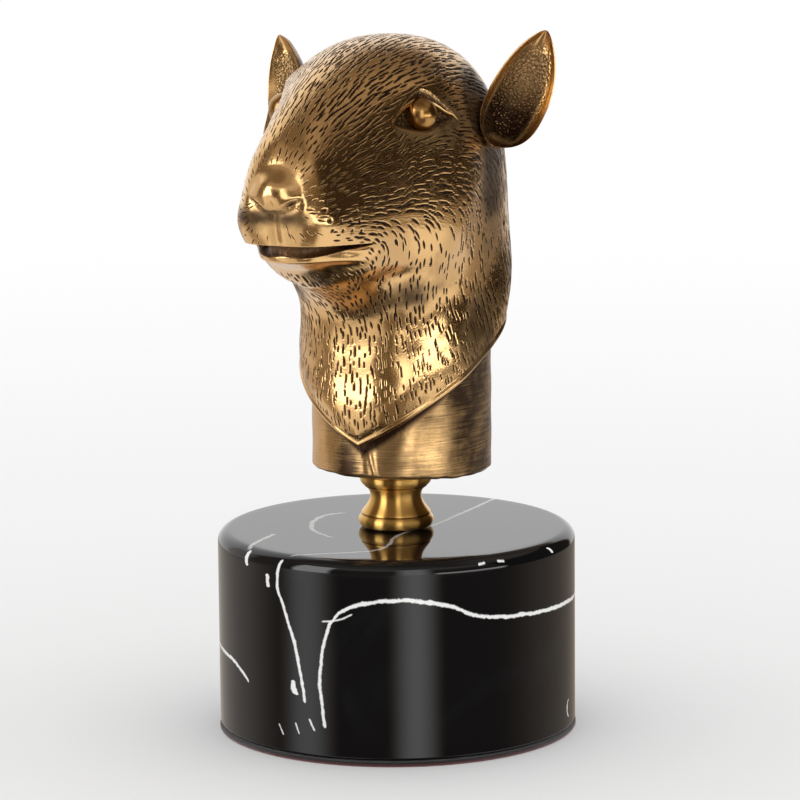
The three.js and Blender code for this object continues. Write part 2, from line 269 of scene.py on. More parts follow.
# The head's form, in figure units (about a millimetre each) from the centre of the neck's underside.
# Each section is an oval from a point on the back of the profile to a point on its front: back y, back z,
# front y, front z, half width, and a share by which the back half is wider and the front half narrower.
headSections = np.array([
    [-66.9, 74.4, -66.9, 74.4, 0, 0],
    [-66.1, 78.6, -65.6, 67, 5.5, -0.02],
    [-64.2, 83.3, -63.6, 61.2, 8.4, -0.08],
    [-60.8, 88, -60, 57.4, 10.8, -0.16],
    [-55.2, 92.4, -54, 54.9, 13, -0.24],
    [-47.7, 96.6, -47, 52.3, 15.1, -0.26],
    [-38.6, 100.4, -40.3, 49.9, 17.4, -0.18],
    [-27.5, 103.7, -33.7, 47.4, 20.1, -0.06],
    [-15, 105.9, -28.6, 44.3, 23.2, 0.04],
    [-2, 106.4, -25.2, 40.4, 24.7, 0.09],
    [10.5, 104.6, -23.9, 36, 24.5, 0.12],
    [21.5, 99.4, -23.9, 31.3, 23.9, 0.13],
    [29.8, 90.4, -23.9, 26.7, 23.6, 0.1],
    [34.4, 78.6, -24.1, 22.1, 23.4, 0.05],
    [35.8, 65.4, -24.1, 17.5, 23.6, 0.04],
    [33.6, 52.4, -23.3, 13.3, 24.4, 0.07],
    [28.2, 40.4, -21.4, 9.4, 24, 0.07],
])
lastSection = len(headSections) - 1

head = {
    "sectionPower": 2.2,
    "pointStart": 10,  # from this section on, the rings sag to a point at the front of the neck
    "columns": 720,
    "rows": 508,
    "firstLength": 0.33,  # the first piece's share of the length, so that it holds most of the mouth
    "pieces": ("fur_snout", "fur_face", "fur_throat", "fur_nape"),
    "edgeRadius": 0.9,
    "rimHeight": 0.35,
    "streakRadius": 27,  # of the round that the fine streaks between the strokes are laid out on
    "edgeRows": 9,
    "flange": 1.5,
    "pitDepth": 0.25,
}
eye = {"centre": (20.3, -24.2, 91.2), "radius": 4, "rise": 1.9, "rows": 40, "columns": 64}
lid = {
    "front": (15, -34.4, 88.9), "back": (23.9, -14.2, 88), "peak": (20.5, -23.6, 95.6),
    "radius": 0.6, "flatness": 0.95, "lowerDrop": 2.4, "recess": 2, "rows": 90, "columns": 20,
}
nose = {
    "middleZ": 75.6, "halfWidth": 6.5, "below": 4.2, "above": 6.8, "rise": 2, "wing": 0.35,
    "crease": 0.3, "line": 0.3,  # depths of the crease round the pad's lower edge and the line under it
    "nostrilX": 4.3, "nostrilZ": 73.4, "nostrilWidth": 1.6, "nostrilSlant": 0.45, "nostrilDepth": 1.2,
}
mouth = {
    "centreY": -45.5, "top": 62.6, "frontRise": 1, "halfWidth": 14.5, "length": 21.5,
    "overcut": 5, "gap": 3.5, "depth": 6, "steps": 96,
}
# Low forms on both sides of the head. Each is a height, and a middle and a reach in x, y and z.
lowForms = {
    "whiskerPad": (1.1, (9.5, 5), (-60, 7), (68.5, 4.5)),
    "cheek": (1.2, (21, 9), (-16, 13), (62, 12)),
    "eyeSocket": (-1.5, (20, 7), (-24.5, 7.5), (89.5, 3.6)),
    "brow": (0.9, (19, 6), (-22, 10), (96.5, 3)),
    "earRoot": (1.2, (21, 7), (5, 7), (88, 9)),
    "jaw": (-1.1, (15, 9), (-31, 8), (52, 3.5)),
}


def alongHead(measure, sign):
    # one measure of the sections by section number, mirrored past the nose so that it closes round
    mirrored = 3
    spline = naturalSpline(np.concatenate([sign * measure[mirrored:0:-1], measure]))
    return lambda section: spline(section + mirrored)


backY, backZ, frontY, frontZ, widths, widerShares = headSections.T
middleY = alongHead((backY + frontY) / 2, 1)
middleZ = alongHead((backZ + frontZ) / 2, 1)
reachY = alongHead((backY - frontY) / 2, -1)
reachZ = alongHead((backZ - frontZ) / 2, -1)
halfWidth = alongHead(widths, -1)
backWider = alongHead(widerShares, 1)


def ovalPoint(angle):
    # a slightly squared circle of radius 1, from an angle of 0 at the back to pi at the front
    power = 2 / head["sectionPower"]
    return signedPower(np.sin(angle), power), signedPower(np.cos(angle), power)


def plainHead(section, angle):
    # an oval round each section's middle. The last sections sag towards the front, so that the pelt ends in
    # a point.
    across, along = ovalPoint(angle)
    pointed = smooth((section - head["pointStart"]) / (lastSection - head["pointStart"]))
    sag = 2 * np.abs(np.cos(angle / 2)) ** (2 - pointed) - 1 - np.cos(angle)
    return np.stack([
        halfWidth(section) * across * (1 + backWider(section) * along),
        middleY(section) + reachY(section) * along,
        middleZ(section) + reachZ(section) * (along + sag * pointed),
    ], -1)


def headNormal(section, angle):
    # the way the plain head faces, from small steps along it and round it
    step = 0.02
    along = plainHead(section + step, angle) - plainHead(np.maximum(section - step, 0.001), angle)
    around = plainHead(section, angle + step) - plainHead(section, angle - step)
    return unitVectors(np.cross(around, along))


def eyeOpening(p):
    # how far a point lies inside the almond between the arched upper lid and the lower one, or -9 far from it
    front, back, peak = (np.array(lid[key]) for key in ("front", "back", "peak"))
    mirrored = np.concatenate([np.abs(p[..., :1]), p[..., 1:]], -1)
    middle = (front + back) / 2
    axis = (back - front) / np.linalg.norm(back - front)
    reach = np.clip((mirrored - middle) @ axis / (np.linalg.norm(back - front) / 2), -1.2, 1.2)
    top = middle[2] + (peak - middle)[2] * (1 - np.abs(reach) ** 1.5)
    bottom = middle[2] - lid["lowerDrop"] * (1 - reach**2)
    nearby = np.linalg.norm(mirrored - peak, axis=-1) < 16
    return np.where(nearby, np.minimum(top - p[..., 2], p[..., 2] - bottom), -9)


def noseRing(x, z):
    # 0 in the middle of the nose pad and 1 at its edge
    height = np.where(z < nose["middleZ"], nose["below"], nose["above"])
    return np.hypot(x / nose["halfWidth"], (z - nose["middleZ"]) / height)


def nostrilSlot(x, z, halfHeight):
    # 1 along the middle of each nostril, which slants upwards as it goes outwards
    beside = x - nose["nostrilX"]
    above = z - nose["nostrilZ"] - nose["nostrilSlant"] * beside
    return bell(beside / nose["nostrilWidth"], above / halfHeight)


def noseForms(x, y, z):
    # the pad is a dome on the nose ring, with a crease and a line under it and a low wing beside each nostril
    ring = noseRing(x, z)
    dome = np.clip(1 - ring**2, 0, 1) ** (0.9 + 1.1 * smooth((z - 72) / 8))
    crease = bell((ring - 1.08) / 0.16) * smooth((75 - z) / 2)
    line = bell(x / 1.1) * smooth((77 - z) / 4) * smooth((z - 63) / 2)
    wing = bell((x - 7) / 1.8, (z - 73.6) / 2.4)
    cut = nose["crease"] * crease + nose["line"] * line + nose["nostrilDepth"] * nostrilSlot(x, z, 0.65)
    return (nose["rise"] * dome + nose["wing"] * wing - cut) * smooth((-y - 56) / 8)


def headFeatures(p):
    # how far the modelled forms stand out of the plain head, as sums of bells and steps in millimetres
    x, y, z = halved(p)
    low = sum(height * bell(*((value - middle) / reach for value, (middle, reach) in zip((x, y, z), places)))
              for height, *places in lowForms.values())
    underLip = smooth((mouth["top"] - 0.2 - z) / 2) * smooth((-y - 42) / 12)
    lowerLip = 1.1 * bell((z - mouth["top"] + 4) / 1.3) - 2
    hollows = 1.2 * bell((p[..., 0] - 16) / 12) * smooth((4 - y) / 14) - 0.6 * bell((p[..., 0] - 0.8) / 5)
    throat = hollows * smooth((46 - z) / 12) * smooth((2 - y) / 12)
    recess = lid["recess"] * smooth((eyeOpening(p) + 0.3) / 2.4)
    return noseForms(x, y, z) + low + lowerLip * underLip + throat - recess


def evenShares(rows):
    # shares of the way from the nose to the pelt's edge whose rings are evenly spaced on average in the first
    # piece, and evenly but closer in the others
    fine = np.linspace(0, 1, 600)
    angles = roundTurns(48)
    points = plainHead(fine[:, None] * lastSection, angles[None, :])
    steps = np.linalg.norm(np.diff(points, axis=0), axis=-1).mean(axis=1)
    distance = np.concatenate([[0], np.cumsum(steps)])
    part = 1 / len(head["pieces"])
    wanted = np.interp(np.linspace(0, 1, rows + 1)[1:], (0, part, 1), (0, head["firstLength"], 1))
    return np.interp(wanted * distance[-1], distance, fine)


stroke = {
    "seed": 11,
    "spacing": 1.35,  # mm between strokes side by side
    "band": 3,  # mm from one row of strokes to the next
    "halfLength": (1.4, 3.3),
    "halfWidth": (0.17, 0.28),
    "depth": (0.15, 0.28),
    "tilt": 0.1,
    "curl": 0.015,  # per mm
    "burr": 0.12,
    "missing": 0.05,
    "pillows": 104,  # soft lengthwise swellings round the head
    "pillowLength": 6,
    "pillowHeight": 0.022,
}


def strokeRoom(p, edgeDistance):
    # 1 where the fur is engraved, falling to 0 on the nose, the chin and lips, round the eyes and at the edge
    x, y, z = halved(p)
    underNose = bell(x / 3.5) * smooth((74 - z) / 3)
    nearNose = smooth((1.17 + 0.6 * smooth((73 - z) / 3) - noseRing(x, z)) / 0.15)
    onNose = np.maximum(nearNose, underNose) * smooth((-y - 55) / 4)
    lips = bell((z - mouth["top"] + 1.2) / 2.2) * smooth((-y - 44) / 5)
    chin = smooth((mouth["top"] - z) / 2) * smooth((z - 54) / 2) * smooth((-y - 44) / 5)
    eyes = smooth((eyeOpening(p) + 1.6) / 1.2)
    edge = 1 - smooth((edgeDistance - 1.1) / 0.5)
    return 1 - np.clip(onNose + 1.3 * lips + chin + eyes + edge, 0, 1)


def strokeManner(p):
    # how the strokes change over the head: how far they lean downwards, shares of their full length and
    # width, and the share of them that is left out
    y, z = p[..., 1], p[..., 2]
    lower = smooth((74 - z) / 18)
    throat = smooth((44 - z) / 12)
    snout = 1 - smooth((y + 62) / 16)
    lean = lower * smooth((y + 50) / 12)
    length = (1 - 0.42 * lower) * (1 - 0.5 * snout)
    width = (1 - 0.3 * snout) * (1 - 0.6 * throat + 0.3 * lower)
    cheek = smooth((74 - z) / 10) * smooth((z - 44) / 10) * smooth((y + 44) / 12)
    missing = stroke["missing"] + 0.1 * lower + 0.35 * cheek + 0.25 * snout * smooth((76 - z) / 6)
    return lean, length, width, missing


# Where neither hands nor the polishing wheel reach, so that the brown patina stays; each of these is also
# painted shade, under the ear and jaw, before the ear and on the flank. Each is a strength, a middle and a
# reach in y and z, and the distance from the middle plane at which it starts and how softly.
shelters = {
    "underEar": (1.9, (4, 10), (79, 16), (13, 6)),
    "beforeEar": (1, (-4, 7), (91, 7), (14, 6)),
    "underJaw": (0.7, (-26, 9), (48, 5), (4, 8)),
    "flank": (0.9, (-1, 9), (38, 16), (16, 6)),
}


def sheltered(p):
    # the sum of the shelters and their painted shade, of the patina round the eyes and on the nape, and of
    # the painted shadow under the nose
    x, y, z = halved(p)
    sides = sum(strength * bell((y - behind) / deep, (z - above) / high) * smooth((x - outward) / soft)
                for strength, (behind, deep), (above, high), (outward, soft) in shelters.values())
    eyes = 0.8 * bell((x - 19) / 9, (y + 24) / 11, (z - 88) / 6)
    nape = 0.7 * smooth((y - 8) / 14) * smooth((88 - z) / 10)
    # painted shadow under the nose
    underNose = 1.2 * bell(x / 11, (z - 70.2) / 2.4) * smooth((-y - 57) / 5)
    return np.clip(sides + eyes + nape + underNose, 0, 1.5)


def whiskerPits(p):
    # three rows of small pits on each whisker pad
    x, y, z = halved(p)
    depth = 0 * x
    for row in range(3):
        for place in range(4):
            away = np.hypot(y + 61.5 - 3.1 * place - 0.8 * row, z - 71.8 + 2.3 * row + 0.4 * place)
            depth = np.maximum(depth, bell(away / 0.42))
    return depth * smooth((x - 5) / 2)


def pillowHeights(angle, along):
    # soft swellings from random values on a grid of angles and distances, joined by smooth steps
    count = stroke["pillows"]
    column = angle / (2 * math.pi) * count
    row = along / stroke["pillowLength"]
    chance = np.random.default_rng(stroke["seed"] + 2).random((int(row.max()) + 2, count)) * 2 - 1
    c, r = np.floor(column).astype(int), np.floor(row).astype(int)
    acrossShare, alongShare = smooth(column - c), smooth(row - r)
    near, far = (chance[r + step, c % count] * (1 - acrossShare)
                 + chance[r + step, (c + 1) % count] * acrossShare for step in (0, 1))
    return stroke["pillowHeight"] * (near * (1 - alongShare) + far * alongShare)


def surfaceSteps(points, around, along):
    # what one whole ring round and one millimetre onward are as steps in space, from the slopes of the grid
    def across(values):
        step = np.roll(values, -1, axis=1) - np.roll(values, 1, axis=1)
        return (step + 0.5) % 1 - 0.5 if values is around else step

    turnC, turnR = across(around), np.gradient(around, axis=0) * 2
    wayC, wayR = across(along), np.gradient(along, axis=0) * 2
    pointC, pointR = across(points), np.gradient(points, axis=0) * 2
    scale = (turnC * wayR - turnR * wayC)[..., None]
    ringStep = (pointC * wayR[..., None] - pointR * wayC[..., None]) / scale
    wayStep = (pointR * turnC[..., None] - pointC * turnR[..., None]) / scale
    return ringStep, wayStep


def singleStroke(onward, sideways, luck, longer, wider, missing):
    # one groove with pointed ends, widest before its middle: how far it is cut, its depth and its raised lip
    ranges = (stroke["halfLength"], stroke["halfWidth"], stroke["depth"])
    halfLength, halfWidth, depth = (
        low + (high - low) * luck[..., 3 + i] for i, (low, high) in enumerate(ranges))
    halfLength, halfWidth = halfLength * longer, halfWidth * wider
    reach = np.clip(onward / halfLength, -1, 1)
    width = halfWidth * (1 - reach**2) ** 0.7 * (1 - 0.3 * reach) + 1e-6
    wide = np.abs(sideways) / width
    there = (np.abs(onward) < halfLength) & (luck[..., 6] > missing)
    cut = np.where(there, np.clip(1 - wide**1.5, 0, 1), 0) * np.sqrt(width / halfWidth)
    return cut, depth, np.where(there, bell((wide - 1.3) / 0.35), 0)


def strokeBands(along, ringLength):
    # which band of strokes each point lies in, and for each band how many strokes go round, how far they are
    # shifted, and seven random values for every stroke
    bandOf = along / stroke["band"]
    bands = int(bandOf.max()) + 4
    widest = int(ringLength.max() / stroke["spacing"]) + 2
    chance = np.random.default_rng(stroke["seed"]).random((bands, widest, 7))
    shift = np.random.default_rng(stroke["seed"] + 1).random(bands)
    place = bandOf.astype(int).ravel()
    total = np.bincount(place, ringLength.ravel(), bands)
    ringOfBand = total / np.maximum(np.bincount(place, minlength=bands), 1)
    counts = np.clip(np.round(ringOfBand / stroke["spacing"]), 6, widest).astype(int)
    return bandOf, counts, shift, chance


def furStrokes(p, normal, around, along, ringLength):
    # V-shaped grooves in a brick pattern. Each cell of the pattern holds one stroke with its own place, size
    # and tilt, and a point takes the deepest stroke of the cells round it. around is the share of the ring,
    # along the distance from the nose. Gives the height, and a mask that is 1 in the middle of a stroke.
    ringStep, wayStep = surfaceSteps(p, around, along)
    bandOf, counts, shift, chance = strokeBands(along, ringLength)
    lean, longer, wider, missing = strokeManner(p)
    downwards = np.array([0, 0.35, -1])
    onSurface = unitVectors(downwards - normal * (normal @ downwards)[..., None])
    flow = unitVectors(unitVectors(wayStep) * (1 - lean[..., None]) + onSurface * lean[..., None])
    side = np.cross(normal, flow)
    deepest, burr, mask = (np.zeros(around.shape) for _ in range(3))
    for bandStep in (-1, 0, 1):
        band = np.clip(np.floor(bandOf).astype(int) + bandStep, 0, len(counts) - 1)
        count = counts[band]
        columnOf = around * count + shift[band]
        for columnStep in (-2, -1, 0, 1, 2):
            column = np.floor(columnOf).astype(int) + columnStep
            luck = chance[band, np.mod(column, count)]
            centreColumn = column + 0.5 + 0.6 * (luck[..., 0] - 0.5)
            centreBand = band + 0.5 + 0.8 * (luck[..., 1] - 0.5)
            ringShare = ((columnOf - centreColumn) / count)[..., None]
            way = ((bandOf - centreBand) * stroke["band"])[..., None]
            offset = ringStep * ringShare + wayStep * way
            onward = (offset * flow).sum(-1)
            sideways = (offset * side).sum(-1) + onward * stroke["tilt"] * (2 * luck[..., 2] - 1)
            sideways = sideways + onward**2 * stroke["curl"] * (2 * luck[..., 3] - 1)
            cut, depth, lip = singleStroke(onward, sideways, luck, longer, wider, missing)
            deepest = np.maximum(deepest, cut * depth)
            mask = np.maximum(mask, cut)
            burr = np.maximum(burr, lip * depth)
    return stroke["burr"] * burr * (mask < 0.05) - deepest, mask


def ringMeasures(rings, start):
    # for each point the share of its ring that lies before it, its distance from the start down the grid, and
    # the length of its ring
    above = np.broadcast_to(start, (1, *rings.shape[1:]))
    down = np.linalg.norm(np.diff(rings, axis=0, prepend=above), axis=-1)
    sidesteps = np.linalg.norm(np.roll(rings, -1, axis=1) - rings, axis=-1)
    ringLength = sidesteps.sum(axis=1, keepdims=True) + 0 * down
    around = (np.cumsum(sidesteps, axis=1) - sidesteps) / ringLength
    return around, np.cumsum(down, axis=0), ringLength


def furGrid():
    # the whole fur as one grid from the nose to the pelt's edge, with the strokes cut along its normals
    angles = roundTurns(head["columns"])
    step = 0.05
    beforeEdge = plainHead(lastSection - step + 0 * angles, angles)
    stretch = np.linalg.norm(plainHead(lastSection + 0 * angles, angles) - beforeEdge, axis=-1) / step
    section = evenShares(head["rows"])[:, None] * (lastSection - head["edgeRadius"] / stretch)
    angle = np.broadcast_to(angles, section.shape)
    base = plainHead(section, angle)
    normal = headNormal(section, angle)
    formed = base + normal * headFeatures(base)[..., None]
    noseTip = plainHead(np.array(0.0), np.array(0.0))
    noseTip = noseTip + np.array([0, -1, 0]) * headFeatures(noseTip)

    around, along, ringLength = ringMeasures(formed, noseTip)
    edgeDistance = along[-1] - along
    height, mask = furStrokes(formed, normal, around, along, ringLength)
    room = strokeRoom(formed, edgeDistance)
    rimRidge = head["rimHeight"] * (1 - smooth((edgeDistance - 0.2) / 0.9))
    x, y, z = halved(base)
    pits = whiskerPits(base)
    pillows = pillowHeights(angle, along) * smooth((y + 64) / 12)
    points = formed + normal * ((height + pillows) * room + rimRidge - head["pitDepth"] * pits)[..., None]
    nostril = nostrilSlot(x, z, 0.55) * smooth((-y - 56) / 4)
    underRim = 0.12 * bell((edgeDistance - 1.1) / 0.3)
    radius = head["streakRadius"]
    values = {
        "groove": np.maximum(np.maximum(mask * room, underRim), 0.6 * pits),
        "hollow": np.maximum(0.9 * smooth((eyeOpening(formed) + 0.2) / 0.9), nostril),
        "shelter": sheltered(formed),
        "streaks": np.stack([radius * np.cos(angle), radius * np.sin(angle), along], -1),
        "combed": (1 - strokeManner(formed)[0]) * room * smooth((y + 62) / 10),
    }
    return noseTip, points, normal, values


def roundedEdge(lastRing, beforeRing, normal):
    # a half round from the outer face over the pelt's lower edge to its inner face, then inwards
    radius = head["edgeRadius"]
    onward = unitVectors(lastRing - beforeRing)
    turns = np.linspace(0, math.pi, head["edgeRows"])[1:, None, None]
    curl = lastRing + onward * radius * np.sin(turns) - normal * radius * (1 - np.cos(turns))
    axis = lastRing.mean(axis=0)
    inner = curl[-1] + (axis - curl[-1]) * 0.35 - onward * 2
    return np.concatenate([curl, inner[None]]), axis


def carry(values, rows):
    # each value repeated on rows that follow the last one
    return {key: np.concatenate([value, np.repeat(value[-1:], rows, axis=0)])
            for key, value in values.items()}


def cutMouth(piece):
    # the open mouth, a flat slot round the front of the snout that narrows to nothing at its corners
    profile = np.array([
        [-1, 0], [-0.97, 0.55], [-0.8, 0.92], [-0.5, 1], [0.1, 1], [1, 1],
        [1, -1], [0.1, -1], [-0.5, -1], [-0.8, -0.92], [-0.97, -0.55],
    ])
    turn = np.linspace(-0.5, 0.5, mouth["steps"] + 1)[:, None] * math.pi
    openness = 1 - np.abs(turn / (math.pi / 2)) ** 2.2
    gap = mouth["gap"] * (0.06 + 0.94 * openness)
    top = mouth["top"] + mouth["frontRise"] * openness
    radial, level = profile.T
    out = np.where(radial > 0, radial * mouth["overcut"], radial * mouth["depth"])[None, :] + 0 * turn
    rings = np.stack([
        (mouth["halfWidth"] + out) * np.sin(turn),
        mouth["centreY"] - (mouth["length"] + out) * np.cos(turn),
        top + (level[None, :] - 1) * gap / 2,
    ], -1)
    cutter = headPiece("mouth_cutter", rings[0].mean(axis=0), rings, rings[-1].mean(axis=0), facing=-1)
    cutter.data.materials.append(piece.data.materials[1])
    modifier = piece.modifiers.new("mouth", "BOOLEAN")
    modifier.operation = "DIFFERENCE"
    modifier.solver = "MANIFOLD"
    modifier.object = cutter
    modifier.material_mode = "TRANSFER"
    bpy.context.view_layer.update()
    evaluated = piece.evaluated_get(bpy.context.evaluated_depsgraph_get())
    cut = bpy.data.meshes.new_from_object(evaluated)
    piece.modifiers.clear()
    piece.data = cut
    bpy.data.objects.remove(cutter)
    return piece


def makeFur(material, darkMaterial):
    # the grid is parted into pieces of as many rows. Each goes on inwards a little at its ends, where a point
    # closes it, so that the pieces meet at their edges alone.
    noseTip, points, normal, values = furGrid()
    edgeRings, axis = roundedEdge(points[-1], points[-2], normal[-1])
    flange = points - normal * head["flange"]
    lastRow, columns = len(points) - 1, head["columns"]
    names = head["pieces"]
    bounds = [round(lastRow * i / len(names)) for i in range(len(names) + 1)]

    def insidePoint(row, side):
        onward = unitVectors(points[row + 1].mean(axis=0) - points[row - 1].mean(axis=0))
        return points[row].mean(axis=0) + onward * side * 6

    pieces = []
    for name, first, last in zip(names, bounds[:-1], bounds[1:]):
        before = flange[first][None] if first > 0 else points[:0]
        after = edgeRings if last == lastRow else flange[last][None]
        rings = np.concatenate([before, points[first:last + 1], after])
        start = insidePoint(first, 1) if first > 0 else noseTip
        end = axis if last == lastRow else insidePoint(last, -1)
        parts = {key: np.concatenate([value[first:first + 1]][:len(before)] + [value[first:last + 1]])
                 for key, value in values.items()}
        piece = headPiece(name, start, rings, end, facing=-1, **carry(parts, len(after)))
        corners = [1 + columns] if first > 0 else []
        if last < lastRow:
            corners.append(1 + (len(before) + last - first) * columns)
        creaseAround(piece, corners, columns)
        finish(piece, "rat_head", "antique_brass", material, darkMaterial)
        pieces.append(piece)
    for piece in pieces[:2]:
        cutMouth(piece)


# The smooth neck under the pelt, an oval a pelt's thickness inside its edge, with a keel at the front. Its
# lower rim rises a little at the front and turns in to a flat seat for the stem.
neck = {
    "wall": 1.8,
    "sideInset": 3,  # the pelt flares clear of the neck at the sides
    "keelHeight": 1.2,
    "keelWidth": 0.4,
    "rimRadius": 0.9,
    "rimRows": 7,
    "rimMiddle": 0.95,
    "rimFrontRise": 0.95,
    "rimSideDrop": 0.4,
    "seatRadius": 10.6,
    "columns": 320,
    "rows": 90,
    "hiddenRise": 3,
    "dents": 0.06,
    "fold": 0.5,  # the depth of a crease beside the keel
    "dulled": 0.45,
    "shadowDepth": 4.5,  # how far the dark patina and painted shadow reach below the pelt's edge
}
neckBack = backY[-1] - neck["wall"]
neckFront = frontY[-1] + neck["wall"] + neck["keelHeight"]
neckHalfWidth = widths[-1] - neck["sideInset"]


def rimHeight(angle):
    # the rim rises towards the front, is lower on the left and a little uneven, and has two small notches
    wave = 0.1 * np.sin(5 * angle + 1) + 0.07 * np.sin(11 * angle) + 0.05 * np.sin(23 * angle + 2)
    notch = 0.5 * bell((angle - math.pi) / 0.05) + 0.3 * bell((angle - 2.2) / 0.06)
    front = neck["rimFrontRise"] * np.cos(angle) + neck["rimSideDrop"] * np.sin(angle)
    return neck["rimMiddle"] - front + wave + notch


def neckPoint(share, angle, width=1.0):
    # an oval of the head's own power, the same from the pelt's edge at share 0 to the rim at share 1, with a
    # ridge at the front that fades in below the edge
    edge = plainHead(lastSection + 0 * angle, angle)
    across, along = ovalPoint(angle)
    fromFront = np.abs(np.arctan2(np.sin(angle), -np.cos(angle)))
    ridge = neck["keelHeight"] * np.exp(-fromFront / neck["keelWidth"]) * smooth(share)
    top = edge[..., 2] + 0 * share
    return np.stack([
        neckHalfWidth * across * width + 0 * share,
        (neckBack + neckFront) / 2 + ((neckBack - neckFront) / 2 * along - ridge) * width,
        top + (rimHeight(angle) + neck["rimRadius"] - top) * share,
    ], -1)


def neckWall(angle):
    # down the outside, with the shallow unevenness left by filing and a crease beside the keel
    share = np.linspace(0, 1, neck["rows"])[:, None]
    wall = neckPoint(share, angle)
    x, y, z = wall[..., 0], wall[..., 1], wall[..., 2]
    dents = np.sin(x / 3.1 + z / 4.3) * np.sin(z / 2.9 - y / 5.7) + 0.5 * np.sin(x / 1.7 - z / 1.9 + 1)
    fold = bell((x - 3.4 + 0.28 * z) / 0.9) * smooth((12 - z) / 6) * smooth((-y - 10) / 4)
    outward = unitVectors(np.stack([x, y - (neckBack + neckFront) / 2, 0 * z], -1))
    relief = (neck["dents"] * dents - neck["fold"] * fold) * smooth(share * 3)
    return wall + outward * relief[..., None]


def neckRim(angle, lastRing):
    # a quarter round from the wall's last ring to the underside, and in to the seat
    whole = np.array([[1.0]])
    rings = []
    for turn in np.linspace(0, math.pi / 2, neck["rimRows"] + 1)[1:]:
        inwards = neck["rimRadius"] * (1 - math.cos(turn)) / neckHalfWidth
        ring = neckPoint(whole, angle, 1 - inwards) + (lastRing - neckPoint(whole, angle))
        ring[..., 2] = rimHeight(angle) + neck["rimRadius"] * (1 - math.sin(turn))
        rings.append(ring)
    seat = np.stack([neck["seatRadius"] * np.sin(angle), neck["seatRadius"] * np.cos(angle), 0 * angle], -1)
    under = rings[-1]
    return rings + [under * (1 - t) + seat * t for t in (0.3, 0.6, 1)]


def makeNeck(material):
    angle = roundTurns(neck["columns"])[None, :]
    wall = neckWall(angle)
    hidden = wall[:1] + np.array([0, 0, neck["hiddenRise"]])
    rim = neckRim(angle, wall[-1:])
    rings = np.concatenate([hidden, wall, *rim])
    edge = plainHead(lastSection + 0 * angle, angle)[..., 2]
    below = np.concatenate([0 * edge, edge - wall[..., 2], np.repeat(edge - wall[-1:, :, 2], len(rim), 0)])
    # patina and painted shadow under the pelt's overhanging edge
    underEdge = (1 - smooth((below - 0.9) / neck["shadowDepth"])) ** 1.4
    atRim = 0 * below
    atRim[1 + len(wall) + neck["rimRows"] // 2:] = 0.25
    across = rings[..., 0]
    # painted shade and painted highlight: the patina is heavier on the left and beside the keel, and lighter
    # on the right, following where the neck's reflections are dark and bright
    paintedShading = 0.4 * smooth((across - 15) / 5) + 0.8 * bell((across + 4.5) / 3.5)
    paintedShading = paintedShading - 0.4 * smooth((-across - 9) / 4)
    piece = headPiece("neck", hidden[0].mean(axis=0), rings, np.zeros(3), facing=-1,
                      hollow=np.maximum(underEdge, atRim), groove=0 * below, shelter=neck["dulled"] + paintedShading)
    return finish(piece, "rat_head", "antique_brass", material)


# Eyes: a burnished ball set in each almond recess, under an arched lid
def nearestPlace(target):
    # the section and angle of the plain head nearest to each target, by Gauss-Newton steps from the cheek
    section = np.full(target.shape[:-1], 7.5)
    angle = np.full(target.shape[:-1], 1.0)
    small = 0.01
    for _ in range(12):
        here = plainHead(section, angle)
        along = (plainHead(section + small, angle) - here) / small
        around = (plainHead(section, angle + small) - here) / small
        miss = target - here
        aa, rr, ar = (along**2).sum(-1), (around**2).sum(-1), (along * around).sum(-1)
        ma, mr = (miss * along).sum(-1), (miss * around).sum(-1)
        section = section + (ma * rr - mr * ar) / (aa * rr - ar * ar)
        angle = angle + (mr * aa - ma * ar) / (aa * rr - ar * ar)
    return section, angle


def surfaceFrame(target):
    # the plain head's point nearest to each target, the way it faces and the way round the ring there
    section, angle = nearestPlace(target)
    base = plainHead(section, angle)
    normal = headNormal(section, angle)
    across = unitVectors(plainHead(section, angle + 0.05) - base)
    return base, normal, across


def pairedPiece(name, side, material, start, rings, end, **values):
    # a piece of the animal's left side where side is 1, and its mirror image on the right where it is -1
    mirror = np.array([side, 1, 1])
    name = name + ("_left" if side > 0 else "_right")
    piece = headPiece(name, start * mirror, rings * mirror, end * mirror, facing=side, **values)
    return finish(piece, "rat_head", "antique_brass", material)


def makeEye(side, material):
    # a ball with its centre below the surface, so that a shallow dome of it shows
    base, normal, _ = surfaceFrame(np.array(eye["centre"], float))
    centre = base + normal * (eye["rise"] - eye["radius"])
    tilt = np.linspace(0, math.pi, eye["rows"] + 2)[1:-1, None]
    turn = roundTurns(eye["columns"])
    ball = eye["radius"] * np.stack([
        np.sin(tilt) * np.cos(turn), np.sin(tilt) * np.sin(turn), np.cos(tilt) + 0 * turn], -1)
    pole = np.array([0, 0, eye["radius"]])
    return pairedPiece("eye", side, material, centre + pole, ball + centre, centre - pole)


def makeLid(side, material):
    # a thin ridge swept from the inner corner over the peak to the outer corner, tapering at both ends
    front, back, peak = (np.array(lid[key], float) for key in ("front", "back", "peak"))
    share = np.linspace(0, 1, lid["rows"])[:, None]
    reach = 2 * share - 1
    target = front + (back - front) * share + (peak - (front + back) / 2) * (1 - np.abs(reach) ** 1.5)
    base, normal, across = surfaceFrame(target)
    base = base + normal * (headFeatures(base + across * 1.5) * 0.5)[..., None]
    radius = lid["radius"] * (1.06 - np.abs(reach) ** 5)[..., None]
    turn = roundTurns(lid["columns"])[None, :, None]
    rings = base[:, None] + radius * (normal[:, None] * np.cos(turn)
                                      + across[:, None] * np.sin(turn) * lid["flatness"])
    return pairedPiece("lid", side, material, rings[0].mean(axis=0), rings, rings[-1].mean(axis=0))


